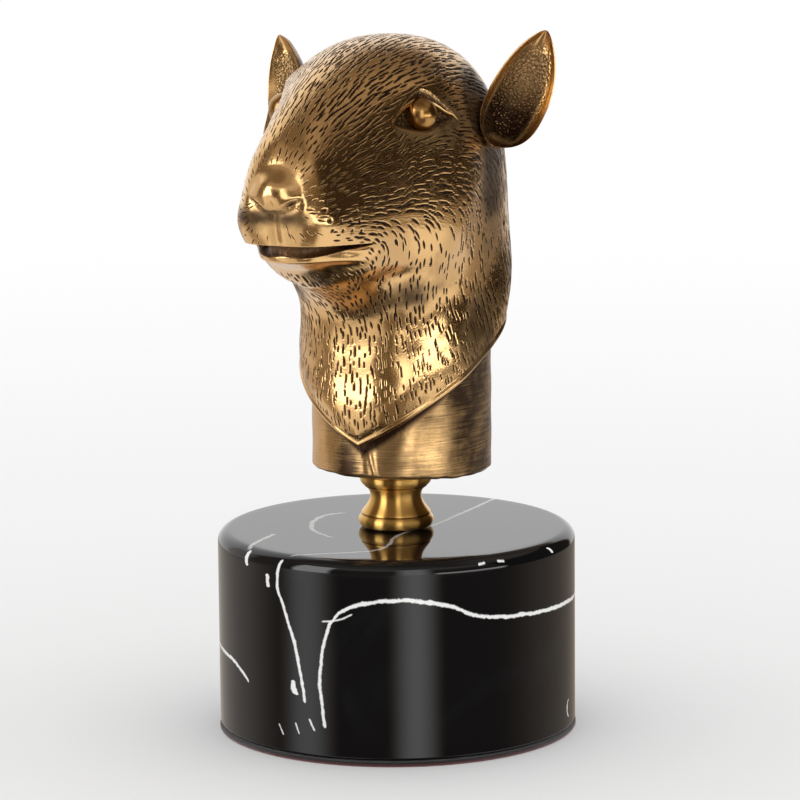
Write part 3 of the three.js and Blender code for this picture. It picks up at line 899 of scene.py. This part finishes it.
# Ears: cupped leaves with a plain rolled rim, thicker at the front
ear = {
    "root": (25.8, -1.6, 80.2), "tip": (35.2, 11.5, 107), "facing": (0.4, -0.9, -0.12),
    "halfWidth": 7.7, "widest": 0.42, "cup": 0.5, "lowerCup": 0.5, "lowerLip": 4.2, "backing": 7,
    "bow": 1.1, "bend": 2.5, "rightDrop": 3, "wall": 1.5, "frontRoll": 0.7, "backRoll": 0.3,
    "rows": 110, "columns": 120,
}


def makeEar(side, material):
    # rings from root to tip, each a thin closed loop bent to an arc: q runs across it and bulge through its
    # wall. The loops close to a point at both ends, and the lower end curls forwards into a bowl.
    root = np.array(ear["root"], float)
    stretch = np.array(ear["tip"]) - root
    up = unitVectors(stretch)
    opening = np.array(ear["facing"], float)
    opening = unitVectors(opening - up * (opening @ up))
    sideways = np.cross(up, opening)
    t = np.linspace(0.03, 0.97, ear["rows"])[:, None]
    share = (1 - np.cos(math.pi * t)) / 2
    above = np.maximum(share - ear["widest"], 0) / (1 - ear["widest"])
    below = np.maximum(ear["widest"] - share, 0) / ear["widest"]
    spread = ear["halfWidth"] * (1 - above**1.9) ** 0.68 * np.sqrt(1 - below**2.8)
    turn = roundTurns(ear["columns"])[None, :]
    q = signedPower(np.cos(turn), 0.8) + 0 * share
    bulge = signedPower(np.sin(turn), 0.8) + 0 * share
    roll = ear["frontRoll"] * smooth((-q - 0.62) / 0.3) + ear["backRoll"] * smooth((q - 0.72) / 0.2)
    roll = np.maximum(roll, ear["frontRoll"] * smooth((0.12 - share) / 0.1))
    thick = ear["wall"] * np.minimum(1, spread / 3)
    half = thick / 2 * (1 + roll) * bulge
    backing = ear["backing"] * np.minimum(bulge, 0) * (1 - q**2) * smooth((0.55 - share) / 0.35)
    bow = np.sin(math.pi * share)
    forward = ear["lowerLip"] * below**3 - ear["bend"] * bow
    centre = root + stretch * share[..., None] + sideways * (ear["bow"] * bow)[..., None]
    if side < 0:
        centre[..., 2] -= ear["rightDrop"] * share
    depth = spread * (ear["cup"] + ear["lowerCup"] * below) * 1.6
    rings = (centre + sideways * (q * (spread - thick * 0.2))[..., None]
             + opening * (forward + depth * (q**2 - 0.5) - thick / 2 + half + backing)[..., None])
    inside = smooth((bulge - 0.1) / 0.4) * smooth((0.86 - np.abs(q)) / 0.2) * smooth((0.92 - share) / 0.12)
    inside = inside * smooth((share - 0.05) / 0.1)
    # the patina inside the cup, made darker towards the root as painted shade
    deep = 0.62 + 0.36 * smooth((0.75 - share) / 0.5)
    behind = smooth(-bulge / 0.3) * 0.8
    return pairedPiece("ear", side, material, rings[0].mean(axis=0), rings, rings[-1].mean(axis=0),
                       hollow=inside * deep, groove=0 * inside, shelter=behind)


# The stem, plinth and felt are turned about the upright axis
def turnedRings(profile, columns):
    # rings of a profile of radius and height, in millimetres
    turn = roundTurns(columns)
    radius, height = profile[:, :1], profile[:, 1:]
    return np.stack([radius * np.sin(turn), -radius * np.cos(turn), height + 0 * turn], -1)


def roundedProfile(corners, spacing):
    # the corners joined by a curve through them, sampled at an even spacing
    corners = np.asarray(corners, float)
    steps = np.concatenate([[0], np.cumsum(np.linalg.norm(np.diff(corners, axis=0), axis=1))])
    even = np.linspace(0, steps[-1], max(int(steps[-1] / spacing), 2))
    place = np.interp(even, steps, np.arange(len(corners)))
    return np.stack([naturalSpline(corners[:, 0])(place), naturalSpline(corners[:, 1])(place)], -1)


# The spool is a rounded bead, a groove, a hollow waist and a cap. Each line is a radius in millimetres and a
# share of the height.
stem = {
    "bead": [(8, 0), (8.45, 0.015), (8.8, 0.05), (9, 0.11), (8.9, 0.17), (8.55, 0.215), (8.2, 0.235)],
    "waist": [(8.2, 0.245), (8.3, 0.265), (7.85, 0.32), (7, 0.41), (6.4, 0.5), (6.15, 0.59), (6.35, 0.68),
              (6.9, 0.74), (7.5, 0.775), (7.5, 0.785)],
    "cap": [(7.55, 0.795), (8, 0.82), (8.45, 0.87), (8.6, 0.92), (8.6, 0.98)],
    "grooves": (0.24, 0.79),
    "columns": 180, "spacing": 0.12,
    # the dark brown in the two grooves is painted shade
    "metal": "#E8B968", "shadeInGrooves": "#5A3413",
    "marks": (50, 50, 0.35), "relief": 0.015,  # mm, the sizes and height of the lathe's marks
}


def makeStem(material):
    # the three curves one above the other, closed with flat rings at the foot and the cap
    height = (stemHigh.z - stemLow.z) / mm
    parts = [roundedProfile([[radius, share * height] for radius, share in stem[key]], stem["spacing"])
             for key in ("bead", "waist", "cap")]
    foot, cap = stem["bead"][0][0], stem["cap"][-1][0]
    top = np.array([[cap - 0.25, height], [cap * 0.6, height], [cap * 0.2, height]])
    bottom = np.array([[foot * 0.2, 0], [foot * 0.7, 0]])
    profile = np.concatenate([bottom, *parts, top])
    rings = turnedRings(profile, stem["columns"])
    lift = np.array([0, 0, stemLow.z / mm])
    # where the two grooves get their painted shade
    groove = sum(bell((rings[..., 2] / height - level) / 0.012) for level in stem["grooves"])
    piece = loftPiece("stem", lift, rings + lift, lift + np.array([0, 0, height]), facing=-1, groove=groove)
    return finish(piece, "turned_stem", "turned_brass", material)


plinth = {
    "edgeRadius": 3, "chamfer": 0.5, "columns": 320, "rows": 20,
    "beside": 0.05,  # rings this close to the chamfer's corners keep its shading off the side
}


def makePlinth(material):
    # up the side from the chamfer, a quarter round at the top edge, and in to the centre
    radius = marbleHigh.x / mm
    low, high = marbleLow.z / mm, marbleHigh.z / mm
    corner, chamfer, beside = plinth["edgeRadius"], plinth["chamfer"], plinth["beside"]
    turns = np.linspace(0, math.pi / 2, 17)
    side = np.linspace(low + chamfer, high - corner, plinth["rows"])
    top = np.linspace(radius - corner, 0.5, plinth["rows"])[1:]
    profile = np.concatenate([
        [[1, low], [radius - chamfer - 0.6, low], [radius - chamfer - beside, low]],
        [[radius - chamfer, low + 0.02], [radius - 0.04, low + chamfer - beside]],
        [[radius, low + chamfer], [radius, low + chamfer + 3 * beside]],
        np.stack([radius + 0 * side, side], -1)[1:],
        np.stack([radius - corner * (1 - np.cos(turns)), high - corner * (1 - np.sin(turns))], -1)[1:],
        np.stack([top, high + 0 * top], -1),
    ])
    rings = turnedRings(profile, plinth["columns"])
    piece = loftPiece("plinth", np.array([0, 0, low]), rings, np.array([0, 0, high]), facing=-1)
    return finish(piece, "marble_plinth", "marble", material)


felt = {
    "columns": 720, "bulge": 0.5, "fuzz": 0.12, "seed": 5,
    "edge": "#6B2B30", "top": "#171112", "fibre": 0.4, "relief": 0.15,
}


def makeFelt(material):
    # a disc with a soft rounded edge whose fibres make it a little uneven
    radius, high, bulge = feltHigh.x / mm, feltHigh.z / mm, felt["bulge"]
    turns = np.linspace(-math.pi / 2, math.pi / 2, 11)
    edge = np.stack([radius - bulge + bulge * np.cos(turns), high / 2 + high / 2 * np.sin(turns)], -1)
    profile = np.concatenate([[[2, 0], [radius - 2, 0]], edge, [[radius - 2, high], [2, high]]])
    rings = turnedRings(profile, felt["columns"])
    fuzz = np.random.default_rng(felt["seed"]).random(rings.shape[:2])
    fuzz = (fuzz + np.roll(fuzz, 1, axis=1)) / 2
    outer = (profile[:, 0] > radius - 1)[:, None]
    rings[..., :2] *= (1 - felt["fuzz"] / radius * fuzz * outer)[..., None]
    piece = loftPiece("felt", np.array([0, 0, 0]), rings, np.array([0, 0, high]), facing=-1)
    return finish(piece, "felt_pad", "felt", material)


# Materials of the real object
brass = {
    "metal": "#DDB37A", "patina": "#2E1A0A", "burnished": "#A9804B",
    "cloud": 15, "stipple": 0.75,  # mm from cloud to cloud of patina, and from pit to pit in the hollows
    "stippleRelief": 20, "streakRelief": 3.5,  # multiples of the relief
    "streaks": (0.35, 0.35, 5),  # mm, the width and length of the fine marks along the fur
    "shelterShare": 0.42,  # how far shelter and its painted shade bring the patina on
    "patinaRoughness": 0.42, "patinaMetallic": 0.6, "lacquer": 0.06,
    "mouthTones": ("#1E130A", "#8A6034"), "lump": 0.9, "lumpHeight": 0.3,  # mm, inside the mouth
}
castSurface = {
    "grain": (0.5, 0.5, 0.5), "relief": 0.02,  # mm
    "roughness": 0.18, "anisotropic": 0, "grainInPatina": 0, "stainedAndShadowed": 0.35,
    "patinaFrom": 0.54, "patinaTo": 0.98, "patinaShare": 0.88,
}
brushedSurface = {
    "grain": (9, 9, 0.3), "relief": 0.004,  # mm. The marks are finer than this, and are drawn coarser to show
    "roughness": 0.24, "anisotropic": 0.6, "grainInPatina": 0.5, "stainedAndShadowed": 1,
    "patinaFrom": 0.74, "patinaTo": 1.26, "patinaShare": 0.92,
}


def patinaShares(add, place, grain, surface):
    # the dark patina in cut and hollow places with the painted shadow under the pelt's edge and in the ears,
    # all of the patina with what weathering and painted shade leave in sheltered places, and the pits in the
    # hollows
    groove, hollow, shelter = (add("Attribute", output="Fac", attribute_name=key)
                               for key in ("groove", "hollow", "shelter"))
    cloud = add("TexNoise", {"Vector": place, "Scale": 1 / brass["cloud"], "Detail": 4, "Roughness": 0.65})
    reached = add("Math", {0: shelter, 1: brass["shelterShare"], 2: cloud}, operation="MULTIPLY_ADD")
    reached = add("Math", {0: grain, 1: surface["grainInPatina"], 2: reached}, operation="MULTIPLY_ADD")
    weatheredAndShaded = add("MapRange", {
        "Value": reached, "From Min": surface["patinaFrom"], "From Max": surface["patinaTo"],
        "To Max": surface["patinaShare"]}, **gently)
    cut = add("MapRange", {"Value": groove, "From Min": 0.08, "From Max": 0.42}, **gently)
    pits = add("TexVoronoi", {"Vector": place, "Scale": 1 / brass["stipple"]})
    kept = add("MapRange", {"Value": pits, "From Min": 0.12, "From Max": 0.3, "To Min": surface["stainedAndShadowed"]})
    stainedAndShadowed = add("Math", {0: hollow, 1: kept}, operation="MULTIPLY")
    stipple = add("Math", {0: pits, 1: hollow}, operation="MULTIPLY")
    dark = add("Math", {0: cut, 1: stainedAndShadowed}, operation="MAXIMUM")
    return dark, add("Math", {0: dark, 1: weatheredAndShaded}, operation="MAXIMUM"), stipple


def brassRelief(add, grain, stipple, surface):
    # the grain of the surface, the pits in the hollows and fine marks along the fur, as one bump
    combed = add("Attribute", output="Fac", attribute_name="combed")
    laidOut = add("Attribute", output="Vector", attribute_name="streaks")
    streaks = add("VectorMath", {0: laidOut, 1: brass["streaks"]}, operation="DIVIDE")
    streaks = add("TexNoise", {"Vector": streaks, "Scale": 1, "Detail": 2})
    streaks = add("Math", {0: streaks, 1: combed}, operation="MULTIPLY")
    height = add("Math", {0: stipple, 1: brass["stippleRelief"], 2: grain}, operation="MULTIPLY_ADD")
    height = add("Math", {0: streaks, 1: brass["streakRelief"], 2: height}, operation="MULTIPLY_ADD")
    return add("Bump", {"Height": height, "Strength": 1, "Distance": surface["relief"] * mm})


def antiqueBrass(name, surface):
    # Antique brass: a lost-wax casting, chased, darkened with liver of sulphur, rubbed back and lacquered.
    # High places are warm yellow metal, brown patina stays in grooves and hollows and is added as painted
    # shade under overhangs, on the flanks and on the neck, and the clear lacquer adds a thin white gloss at
    # grazing angles. A brushed surface has long level marks of the abrasive.
    material, add = newMaterial(name)
    place = inMillimetres(add)
    grain = add("VectorMath", {0: place, 1: surface["grain"]}, operation="DIVIDE")
    grain = add("TexNoise", {"Vector": grain, "Scale": 1, "Detail": 3})
    dark, patina, stipple = patinaShares(add, place, grain, surface)
    covered = add("MapRange", {"Value": patina, "From Max": 0.95})
    tone = add("Mix", {"Factor": covered, 6: linear(brass["metal"]), 7: linear(brass["patina"])}, **ofColours)
    rough = add("MapRange", {
        "Value": patina, "To Min": surface["roughness"], "To Max": brass["patinaRoughness"]})
    shader = add("BsdfPrincipled", {
        "Base Color": tone, "Roughness": rough, "Normal": brassRelief(add, grain, stipple, surface),
        "Metallic": add("MapRange", {"Value": patina, "To Min": 1, "To Max": brass["patinaMetallic"]}),
        "Coat Weight": add("MapRange", {"Value": dark, "To Min": brass["lacquer"], "To Max": 0}),
        "Coat Roughness": 0.15, "Specular IOR Level": 0.25,
        "Anisotropic": surface["anisotropic"], "Anisotropic Rotation": 0.25,
        "Tangent": add("Tangent", direction_type="RADIAL", axis="Z")})
    add("OutputMaterial", {"Surface": shader})
    return material


def mouthPatina():
    # Brass inside the mouth: the same patina left thick, matt and rough from the casting
    material, add = newMaterial("mouth_patina")
    lumps = add("TexNoise", {"Vector": inMillimetres(add), "Scale": 1 / brass["lump"], "Detail": 4})
    dark, light = brass["mouthTones"]
    tone = add("Mix", {"Factor": lumps, 6: linear(dark), 7: linear(light)}, **ofColours)
    relief = add("Bump", {"Height": lumps, "Strength": 1, "Distance": brass["lumpHeight"] * mm})
    shader = add("BsdfPrincipled", {"Base Color": tone, "Metallic": 0.4, "Roughness": 0.4, "Normal": relief})
    add("OutputMaterial", {"Surface": shader})
    return material


def burnishedBronze():
    # The eyes are the same casting, burnished over a thin brown patina
    material, add = newMaterial("burnished_bronze")
    tone = linear(brass["burnished"])
    shader = add("BsdfPrincipled", {"Base Color": tone, "Metallic": 1, "Roughness": 0.25})
    add("OutputMaterial", {"Surface": shader})
    return material


def turnedBrass():
    # Free-cutting brass, turned on a lathe, polished and lacquered: mirror-like warm yellow with fine level
    # rings. They are really about 0.1 mm apart, and are drawn coarser here so that they show.
    material, add = newMaterial("turned_brass")
    groove = add("Attribute", output="Fac", attribute_name="groove")
    level = add("VectorMath", {0: inMillimetres(add), 1: stem["marks"]}, operation="DIVIDE")
    rings = add("TexNoise", {"Vector": level, "Scale": 1, "Detail": 2})
    # painted shade in the two grooves
    tone = add("Mix", {"Factor": groove, 6: linear(stem["metal"]), 7: linear(stem["shadeInGrooves"])}, **ofColours)
    shader = add("BsdfPrincipled", {
        "Base Color": tone, "Metallic": 1,
        "Roughness": add("MapRange", {"Value": rings, "To Min": 0.3, "To Max": 0.4}),
        "Normal": add("Bump", {"Height": rings, "Strength": 1, "Distance": stem["relief"] * mm}),
        "Anisotropic": 1, "Anisotropic Rotation": 0.25,
        "Tangent": add("Tangent", direction_type="RADIAL", axis="Z")})
    add("OutputMaterial", {"Surface": shader})
    return material


marble = {
    "ground": "#0D0D0F",
    "cloud": "#161719",
    "vein": "#F8F8F6",
    "onTop": 0.5,  # how white the veins of the top face are, as a share
    "ragged": 0.7, "raggedLength": 1.3,  # how far noise pushes a vein's edge, as a share of its width
    "wobble": 0.8, "wobbleLength": 5,
    "cloudLength": 30,
    "taper": 1.2,  # the length of a vein's thin end
    # Each vein is what it follows, a width and a line of points. One that follows "turn" (degrees round from
    # the nose) or "round" (the same, counted on past the back) gives heights, one that follows "height" gives
    # turns, and one that follows "depth" (y) gives x on the top face. All but turns are in millimetres.
    "veins": [
        ("turn", 0.75, [(1.4, 31.4), (3.6, 34.4), (7.7, 37), (15.5, 38.9), (25, 39.5), (40, 37.8),
                        (47.6, 35.4), (54, 34.2), (72, 33.2), (112, 32.6), (128, 35)]),
        ("turn", 0.22, [(-1, 33.8), (3.4, 34.4), (7, 35), (11, 36.4)]),
        ("height", 0.6, [(8, 0.6), (15.3, -0.6), (19.6, -0.9), (24, -0.5), (31.4, 1.6), (35.2, 4.2)]),
        ("height", 0.6, [(13.4, -6), (20.5, -7.7), (27.4, -9.8), (37.5, -14.6), (42, -16.6), (45.4, -15.9),
                         (48, -14.2)]),
        ("turn", 0.7, [(-64, 21), (-50, 20.7), (-41.5, 20), (-35, 18.2), (-30, 15.6)]),
        ("height", 0.9, [(39.8, -20.4), (42, -20.8), (44, -20.9)]),
        ("height", 1.2, [(15.2, -8.3), (16.8, -10.3), (19.8, -10.7)]),
        ("height", 1, [(43.6, -30.8), (46, -31.2), (48.4, -30.4)]),
        ("height", 0.25, [(5.2, -14.4), (8.6, -16.8)]),
        ("height", 0.25, [(6, -8.2), (9.6, -10)]),
        ("height", 0.25, [(7.2, -2.8), (11, -5)]),
        ("turn", 0.3, [(50, 46.8), (53.4, 47)]),
        ("turn", 0.3, [(57, 47), (60.6, 46.8)]),
        ("height", 0.8, [(45.8, 83.2), (46.8, 82.4), (47.7, 80.6)]),
        ("height", 0.4, [(3.6, 97), (6.8, 94.4), (9.4, 98.4)]),
        ("round", 0.5, [(132, 17), (158, 27), (186, 24), (214, 34), (236, 31)]),
        ("round", 0.35, [(196, 46), (222, 40), (252, 44), (285, 37)]),
        ("height", 0.4, [(4, -128), (16, -121), (26, -130), (33, -126)]),
        ("depth", 0.8, [(-40.8, -10.6), (-39.2, -7.6), (-36.6, -3.9), (-31.2, 3.6), (-27.6, 7.2),
                        (-22.5, 7.6), (-12, 5.2), (-4, 5.8), (3, 8), (20, 8.8), (42, 9.1)]),
        ("depth", 1.1, [(-19, -7.4), (-16.3, -11.3), (-13, -15.4), (-9, -18.2), (-2, -20.8), (3.2, -21.4),
                        (7.1, -20.2), (10.6, -15)]),
        ("depth", 0.9, [(-40, -20.4), (-32, -22.6), (-27, -22.9), (-19, -22.9)]),
    ],
}


def veinCurve(add, value, points):
    # a curve through points of two columns: gives the second for the first, and how far along the value lies
    along, across = np.array(points, float).T
    low, span = across.min() - 1, np.ptp(across) + 2
    share = add("MapRange", {"Value": value, "From Min": along[0], "From Max": along[-1]})
    curved = add("FloatCurve", {"Value": share})
    places = list(zip((along - along[0]) / (along[-1] - along[0]), (across - low) / span))
    mapping = curved.node.mapping
    curve = mapping.curves[0]
    for point, place in zip(curve.points, (places[0], places[-1])):
        point.location = place
    for place in places[1:-1]:
        curve.points.new(*place)
    mapping.update()
    return add("Math", {0: curved, 1: span, 2: low}, operation="MULTIPLY_ADD"), share


def veinThinning(add, share, length, width):
    # how much narrower a vein gets towards its two ends
    fade = min(0.22, marble["taper"] / length)
    fromMiddle = add("Math", {0: share, 1: 0.5}, operation="SUBTRACT")
    fromMiddle = add("Math", {0: fromMiddle}, operation="ABSOLUTE")
    return add("MapRange", {
        "Value": fromMiddle, "From Min": 0.5 - fade, "From Max": 0.5, "To Max": width + 0.3},
        interpolation_type="SMOOTHERSTEP")


def marbleWays(add, place):
    # for each way that a vein can follow: what runs along it and across it, where it shows, how many
    # millimetres a step across it is, and the same for a step along it
    x, y, z = add("SeparateXYZ", {0: place}).node.outputs
    back = add("Math", {0: y, 1: -1}, operation="MULTIPLY")
    turn = add("Math", {0: add("Math", {0: x, 1: back}, operation="ARCTAN2")}, operation="DEGREES")
    onward = add("Math", {0: turn, 1: 360, 2: 0}, operation="WRAP")
    high, perDegree = marbleHigh.z / mm, math.radians(marbleHigh.x / mm)
    onTop = add("MapRange", {"Value": z, "From Min": high - 0.8, "From Max": high - 0.3})
    onSide = add("Math", {0: 1, 1: onTop}, operation="SUBTRACT")
    onTop = add("Math", {0: onTop, 1: marble["onTop"]}, operation="MULTIPLY")
    return {"turn": (turn, z, onSide, 1, perDegree), "round": (onward, z, onSide, 1, perDegree),
            "height": (z, turn, onSide, perDegree, 1), "depth": (y, x, onTop, 1, 1)}


def veinLine(add, way, wave, rag, width, points):
    # how white one vein is: up to 1 within its width of the curve that it follows, waving to both sides, with
    # ragged edges and thin ends
    along, across, room, scale, alongScale = way
    middle, share = veinCurve(add, along, points)
    offset = add("Math", {0: across, 1: middle}, operation="SUBTRACT")
    offset = add("Math", {0: offset, 1: scale, 2: wave}, operation="MULTIPLY_ADD")
    away = add("Math", {0: offset}, operation="ABSOLUTE")
    away = add("Math", {0: rag, 1: width * marble["ragged"] * 2, 2: away}, operation="MULTIPLY_ADD")
    length = abs(points[-1][0] - points[0][0]) * alongScale
    away = add("Math", {0: away, 1: veinThinning(add, share, length, width)}, operation="ADD")
    edge = width * (0.5 + marble["ragged"])
    line = add("MapRange", {
        "Value": away, "From Min": edge - 0.12, "From Max": edge + 0.25, "To Min": 1, "To Max": 0}, **gently)
    return add("Math", {0: line, 1: room}, operation="MULTIPLY")


def polishedMarble():
    # Black marble, sawn, ground and polished to a mirror: nearly black calcite with a faint cloud, crossed by
    # ragged white veins of calcite that lie flush under the polish
    material, add = newMaterial("polished_black_marble")
    place = inMillimetres(add)
    ways = marbleWays(add, place)
    wave = add("TexNoise", {"Vector": place, "Scale": 1 / marble["wobbleLength"], "Detail": 2})
    wave = add("Math", {0: wave, 1: marble["wobble"], 2: -marble["wobble"] / 2}, operation="MULTIPLY_ADD")
    rag = add("TexNoise", {
        "Vector": place, "Scale": 1 / marble["raggedLength"], "Detail": 4, "Roughness": 0.7})
    white = 0.0
    for follows, width, points in marble["veins"]:
        line = veinLine(add, ways[follows], wave, rag, width, points)
        white = add("Math", {0: line, 1: white}, operation="MAXIMUM")
    cloud = add("TexNoise", {
        "Vector": place, "Scale": 1 / marble["cloudLength"], "Detail": 6, "Distortion": 1.5})
    cloudy = add("MapRange", {"Value": cloud, "From Min": 0.5, "From Max": 0.8}, **gently)
    ground = add("Mix", {
        "Factor": cloudy, 6: linear(marble["ground"]), 7: linear(marble["cloud"])}, **ofColours)
    tone = add("Mix", {"Factor": white, 6: ground, 7: linear(marble["vein"])}, **ofColours)
    shader = add("BsdfPrincipled", {"Base Color": tone, "Roughness": 0.045, "Specular IOR Level": 0.4})
    add("OutputMaterial", {"Surface": shader})
    return material


def woolFelt():
    # Pressed wool felt: matt and fibrous, nearly black on top, with a dark red lower edge
    material, add = newMaterial("wool_felt")
    place = inMillimetres(add)
    fibres = add("TexNoise", {"Vector": place, "Scale": 1 / felt["fibre"], "Detail": 4, "Distortion": 2})
    level = add("Math", {0: fibres, 1: 0.8, 2: add("SeparateXYZ", {0: place}, "Z")}, operation="MULTIPLY_ADD")
    share = add("MapRange", {"Value": level, "From Min": 0.5, "From Max": 1.3}, **gently)
    tone = add("Mix", {"Factor": share, 6: linear(felt["edge"]), 7: linear(felt["top"])}, **ofColours)
    relief = add("Bump", {"Height": fibres, "Strength": 1, "Distance": felt["relief"] * mm})
    shader = add("BsdfPrincipled", {
        "Base Color": tone, "Roughness": 0.95, "Sheen Weight": 0.4, "Normal": relief})
    add("OutputMaterial", {"Surface": shader})
    return material


# A white floor and a studio of soft lights. Each panel of light stands at a turn from the nose towards the
# animal's left, between two heights in degrees above the floor.
studio = {
    "floorRadius": 8000,
    "floorShadeTones": ("#F2F2F2", "#FFFFFF"), "floorShadeReach": (60, 900),  # painted shade near the object, plain white far from it
    "lightTones": ("#FFE0BE", "#FFFFFF"),  # of the dim and the bright parts, as a metal mirrors them
    "ceiling": 0.22,
    "panels": [
        # turn, half width, lowest, highest, light, softness sideways, softness upwards
        (204, 180, -90, -17.5, 0.85, 2, 2),  # the white floor
        (204, 180, -17.5, -9.5, 0.6, 2, 2),  # the room's far end, low down
        (144, 60, -17.5, -9.5, 0.38, 30, 2),  # the same at the right
        (21, 88, -17.5, -9.5, 0.1, 45, 2),  # the same behind the camera
        (211, 42, -8, 28, 1.1, 10, 6),  # the backdrop
        (238, 30, 20, 56, 1.2, 14, 14),  # its upper left
        (-98, 14, -8, 26, 0.8, 8, 3),  # its left side
        (-67, 17, -9, 0, 0.3, 6, 4),  # the dark below it
        (-60, 22, -50, -18, 0.45, 14, 3),  # the floor at the left
        (132, 40, -9, 36, 0.04, 6, 2),  # the room's dark side
        (20, 74, -9, 18, 0.14, 6, 3),  # behind the camera
        (34, 30, -62, -18, 0.22, 10, 3),  # the floor before it
        (100, 28, -60, -18, 1.15, 6, 3),  # the floor at the right
        (0, 60, 42, 62, 0.45, 24, 12),  # light far above the front
        (-4, 30, 28, 42, 0.8, 14, 12),  # light above the front
        (60, 26, 28, 44, 0.7, 14, 12),  # its spill at the right
        (120, 34, 40, 66, 0.45, 20, 10),  # light above the right side
        (-36, 9, -50, -16, 1.1, 12, 3),  # the light at the left, mirrored by the floor
        (-36, 12.5, -17, -8, 1.5, 23, 3),  # its lower end
        (-32.5, 12.5, -7.5, 38, 4.6, 5, 2),  # light at the left
        (36, 10, -17, -8.5, 2.1, 20, 2),  # the narrow light's lower end
        (35, 9, -8.5, 36, 2.6, 12, 2),  # narrow light at the front
        (73, 24, -8.5, 1, 4.2, 6, 2),  # low light at the right
    ],
}


def withPanel(add, light, heading, height, panel):
    # the light with one more panel laid over it, up to the panel's soft edges. A panel that goes all the way
    # round has no edges at its sides, and one that goes straight down has no lower edge.
    turn, half, low, high, strength, sideways, upwards = panel
    edges = []
    if half < 180:
        axis = (math.sin(math.radians(turn)), -math.cos(math.radians(turn)), 0)
        facing = add("VectorMath", {0: heading, 1: axis}, "Value", operation="DOT_PRODUCT")
        away = add("Math", {0: facing}, operation="ARCCOSINE")
        edges.append((away, *(math.radians(half + s * sideways / 2) for s in (1, -1))))
    if low > -90:
        edges.append((height, *(math.sin(math.radians(low + s * upwards / 2)) for s in (-1, 1))))
    edges.append((height, *(math.sin(math.radians(high + s * upwards / 2)) for s in (1, -1))))
    share = 1.0
    for value, start, end in edges:
        ramp = add("MapRange", {"Value": value, "From Min": start, "From Max": end}, **gently)
        share = add("Math", {0: share, 1: ramp}, operation="MULTIPLY")
    return add("Mix", {"Factor": share, 2: light, 3: strength}, data_type="FLOAT")


def litStudio():
    # glossy rays see the panels, and diffuse rays and the camera an even white
    world = bpy.data.worlds.new("studio")
    world.use_nodes = True
    world.node_tree.nodes.clear()
    add = partial(addNode, world.node_tree)
    direction = add("TexCoord", output="Generated")
    height = add("SeparateXYZ", {0: direction}, "Z")
    flat = add("VectorMath", {0: direction, 1: (1, 1, 0)}, operation="MULTIPLY")
    heading = add("VectorMath", {0: flat}, operation="NORMALIZE")
    light = studio["ceiling"]
    for panel in studio["panels"]:
        light = withPanel(add, light, heading, height, panel)
    glossy = add("LightPath", output="Is Glossy Ray")
    strength = add("Mix", {"Factor": glossy, 2: 1.0, 3: light}, data_type="FLOAT")
    dim, bright = studio["lightTones"]
    tint = add("Mix", {
        "Factor": strength, 6: linear(dim), 7: linear(bright)}, clamp_factor=True, **ofColours)
    add("OutputWorld", {"Surface": add("Background", {"Color": tint, "Strength": strength})})
    world.cycles.sampling_method = "NONE"  # so that metal sees the panels alone, whatever its roughness
    bpy.context.scene.world = world
    bpy.context.scene.view_settings.view_transform = "Standard"


def whitePaper():
    # White paper: matt, with painted shade that makes it a little darker near the object
    material, add = newMaterial("white_paper_sweep")
    away = add("VectorMath", {0: inMillimetres(add)}, "Value", operation="LENGTH")
    start, end = studio["floorShadeReach"]
    share = add("MapRange", {"Value": away, "From Min": start, "From Max": end}, **gently)
    near, far = studio["floorShadeTones"]
    tone = add("Mix", {"Factor": share, 6: linear(near), 7: linear(far)}, **ofColours)
    shader = add("BsdfDiffuse", {"Color": tone})
    add("OutputMaterial", {"Surface": shader})
    return material


def makeFloor():
    turn = roundTurns(64)
    rim = studio["floorRadius"] * mm
    corners = np.stack([rim * np.cos(turn), rim * np.sin(turn), 0 * turn], -1)
    mesh = bpy.data.meshes.new("floor")
    mesh.from_pydata(corners.tolist(), [], [list(range(len(corners)))])
    mesh.materials.append(whitePaper())
    floor = bpy.data.objects.new("floor", mesh)
    floor.visible_glossy = False
    bpy.context.scene.collection.objects.link(floor)
    floor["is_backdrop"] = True


litStudio()
makeFloor()
print("studio lit")

castBrass = antiqueBrass("antique_cast_brass", castSurface)
eyeBronze = burnishedBronze()
print("brass mixed")

makeFur(castBrass, mouthPatina())
makeNeck(antiqueBrass("brushed_antique_brass", brushedSurface))
for side in (-1, 1):
    makeEye(side, eyeBronze)
    makeLid(side, castBrass)
    makeEar(side, castBrass)
print("head made")
makeStem(turnedBrass())
makePlinth(polishedMarble())
makeFelt(woolFelt())
print("stem, plinth and felt made")
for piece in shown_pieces():
    print(piece.name, len(piece.data.vertices), len(piece.data.polygons))
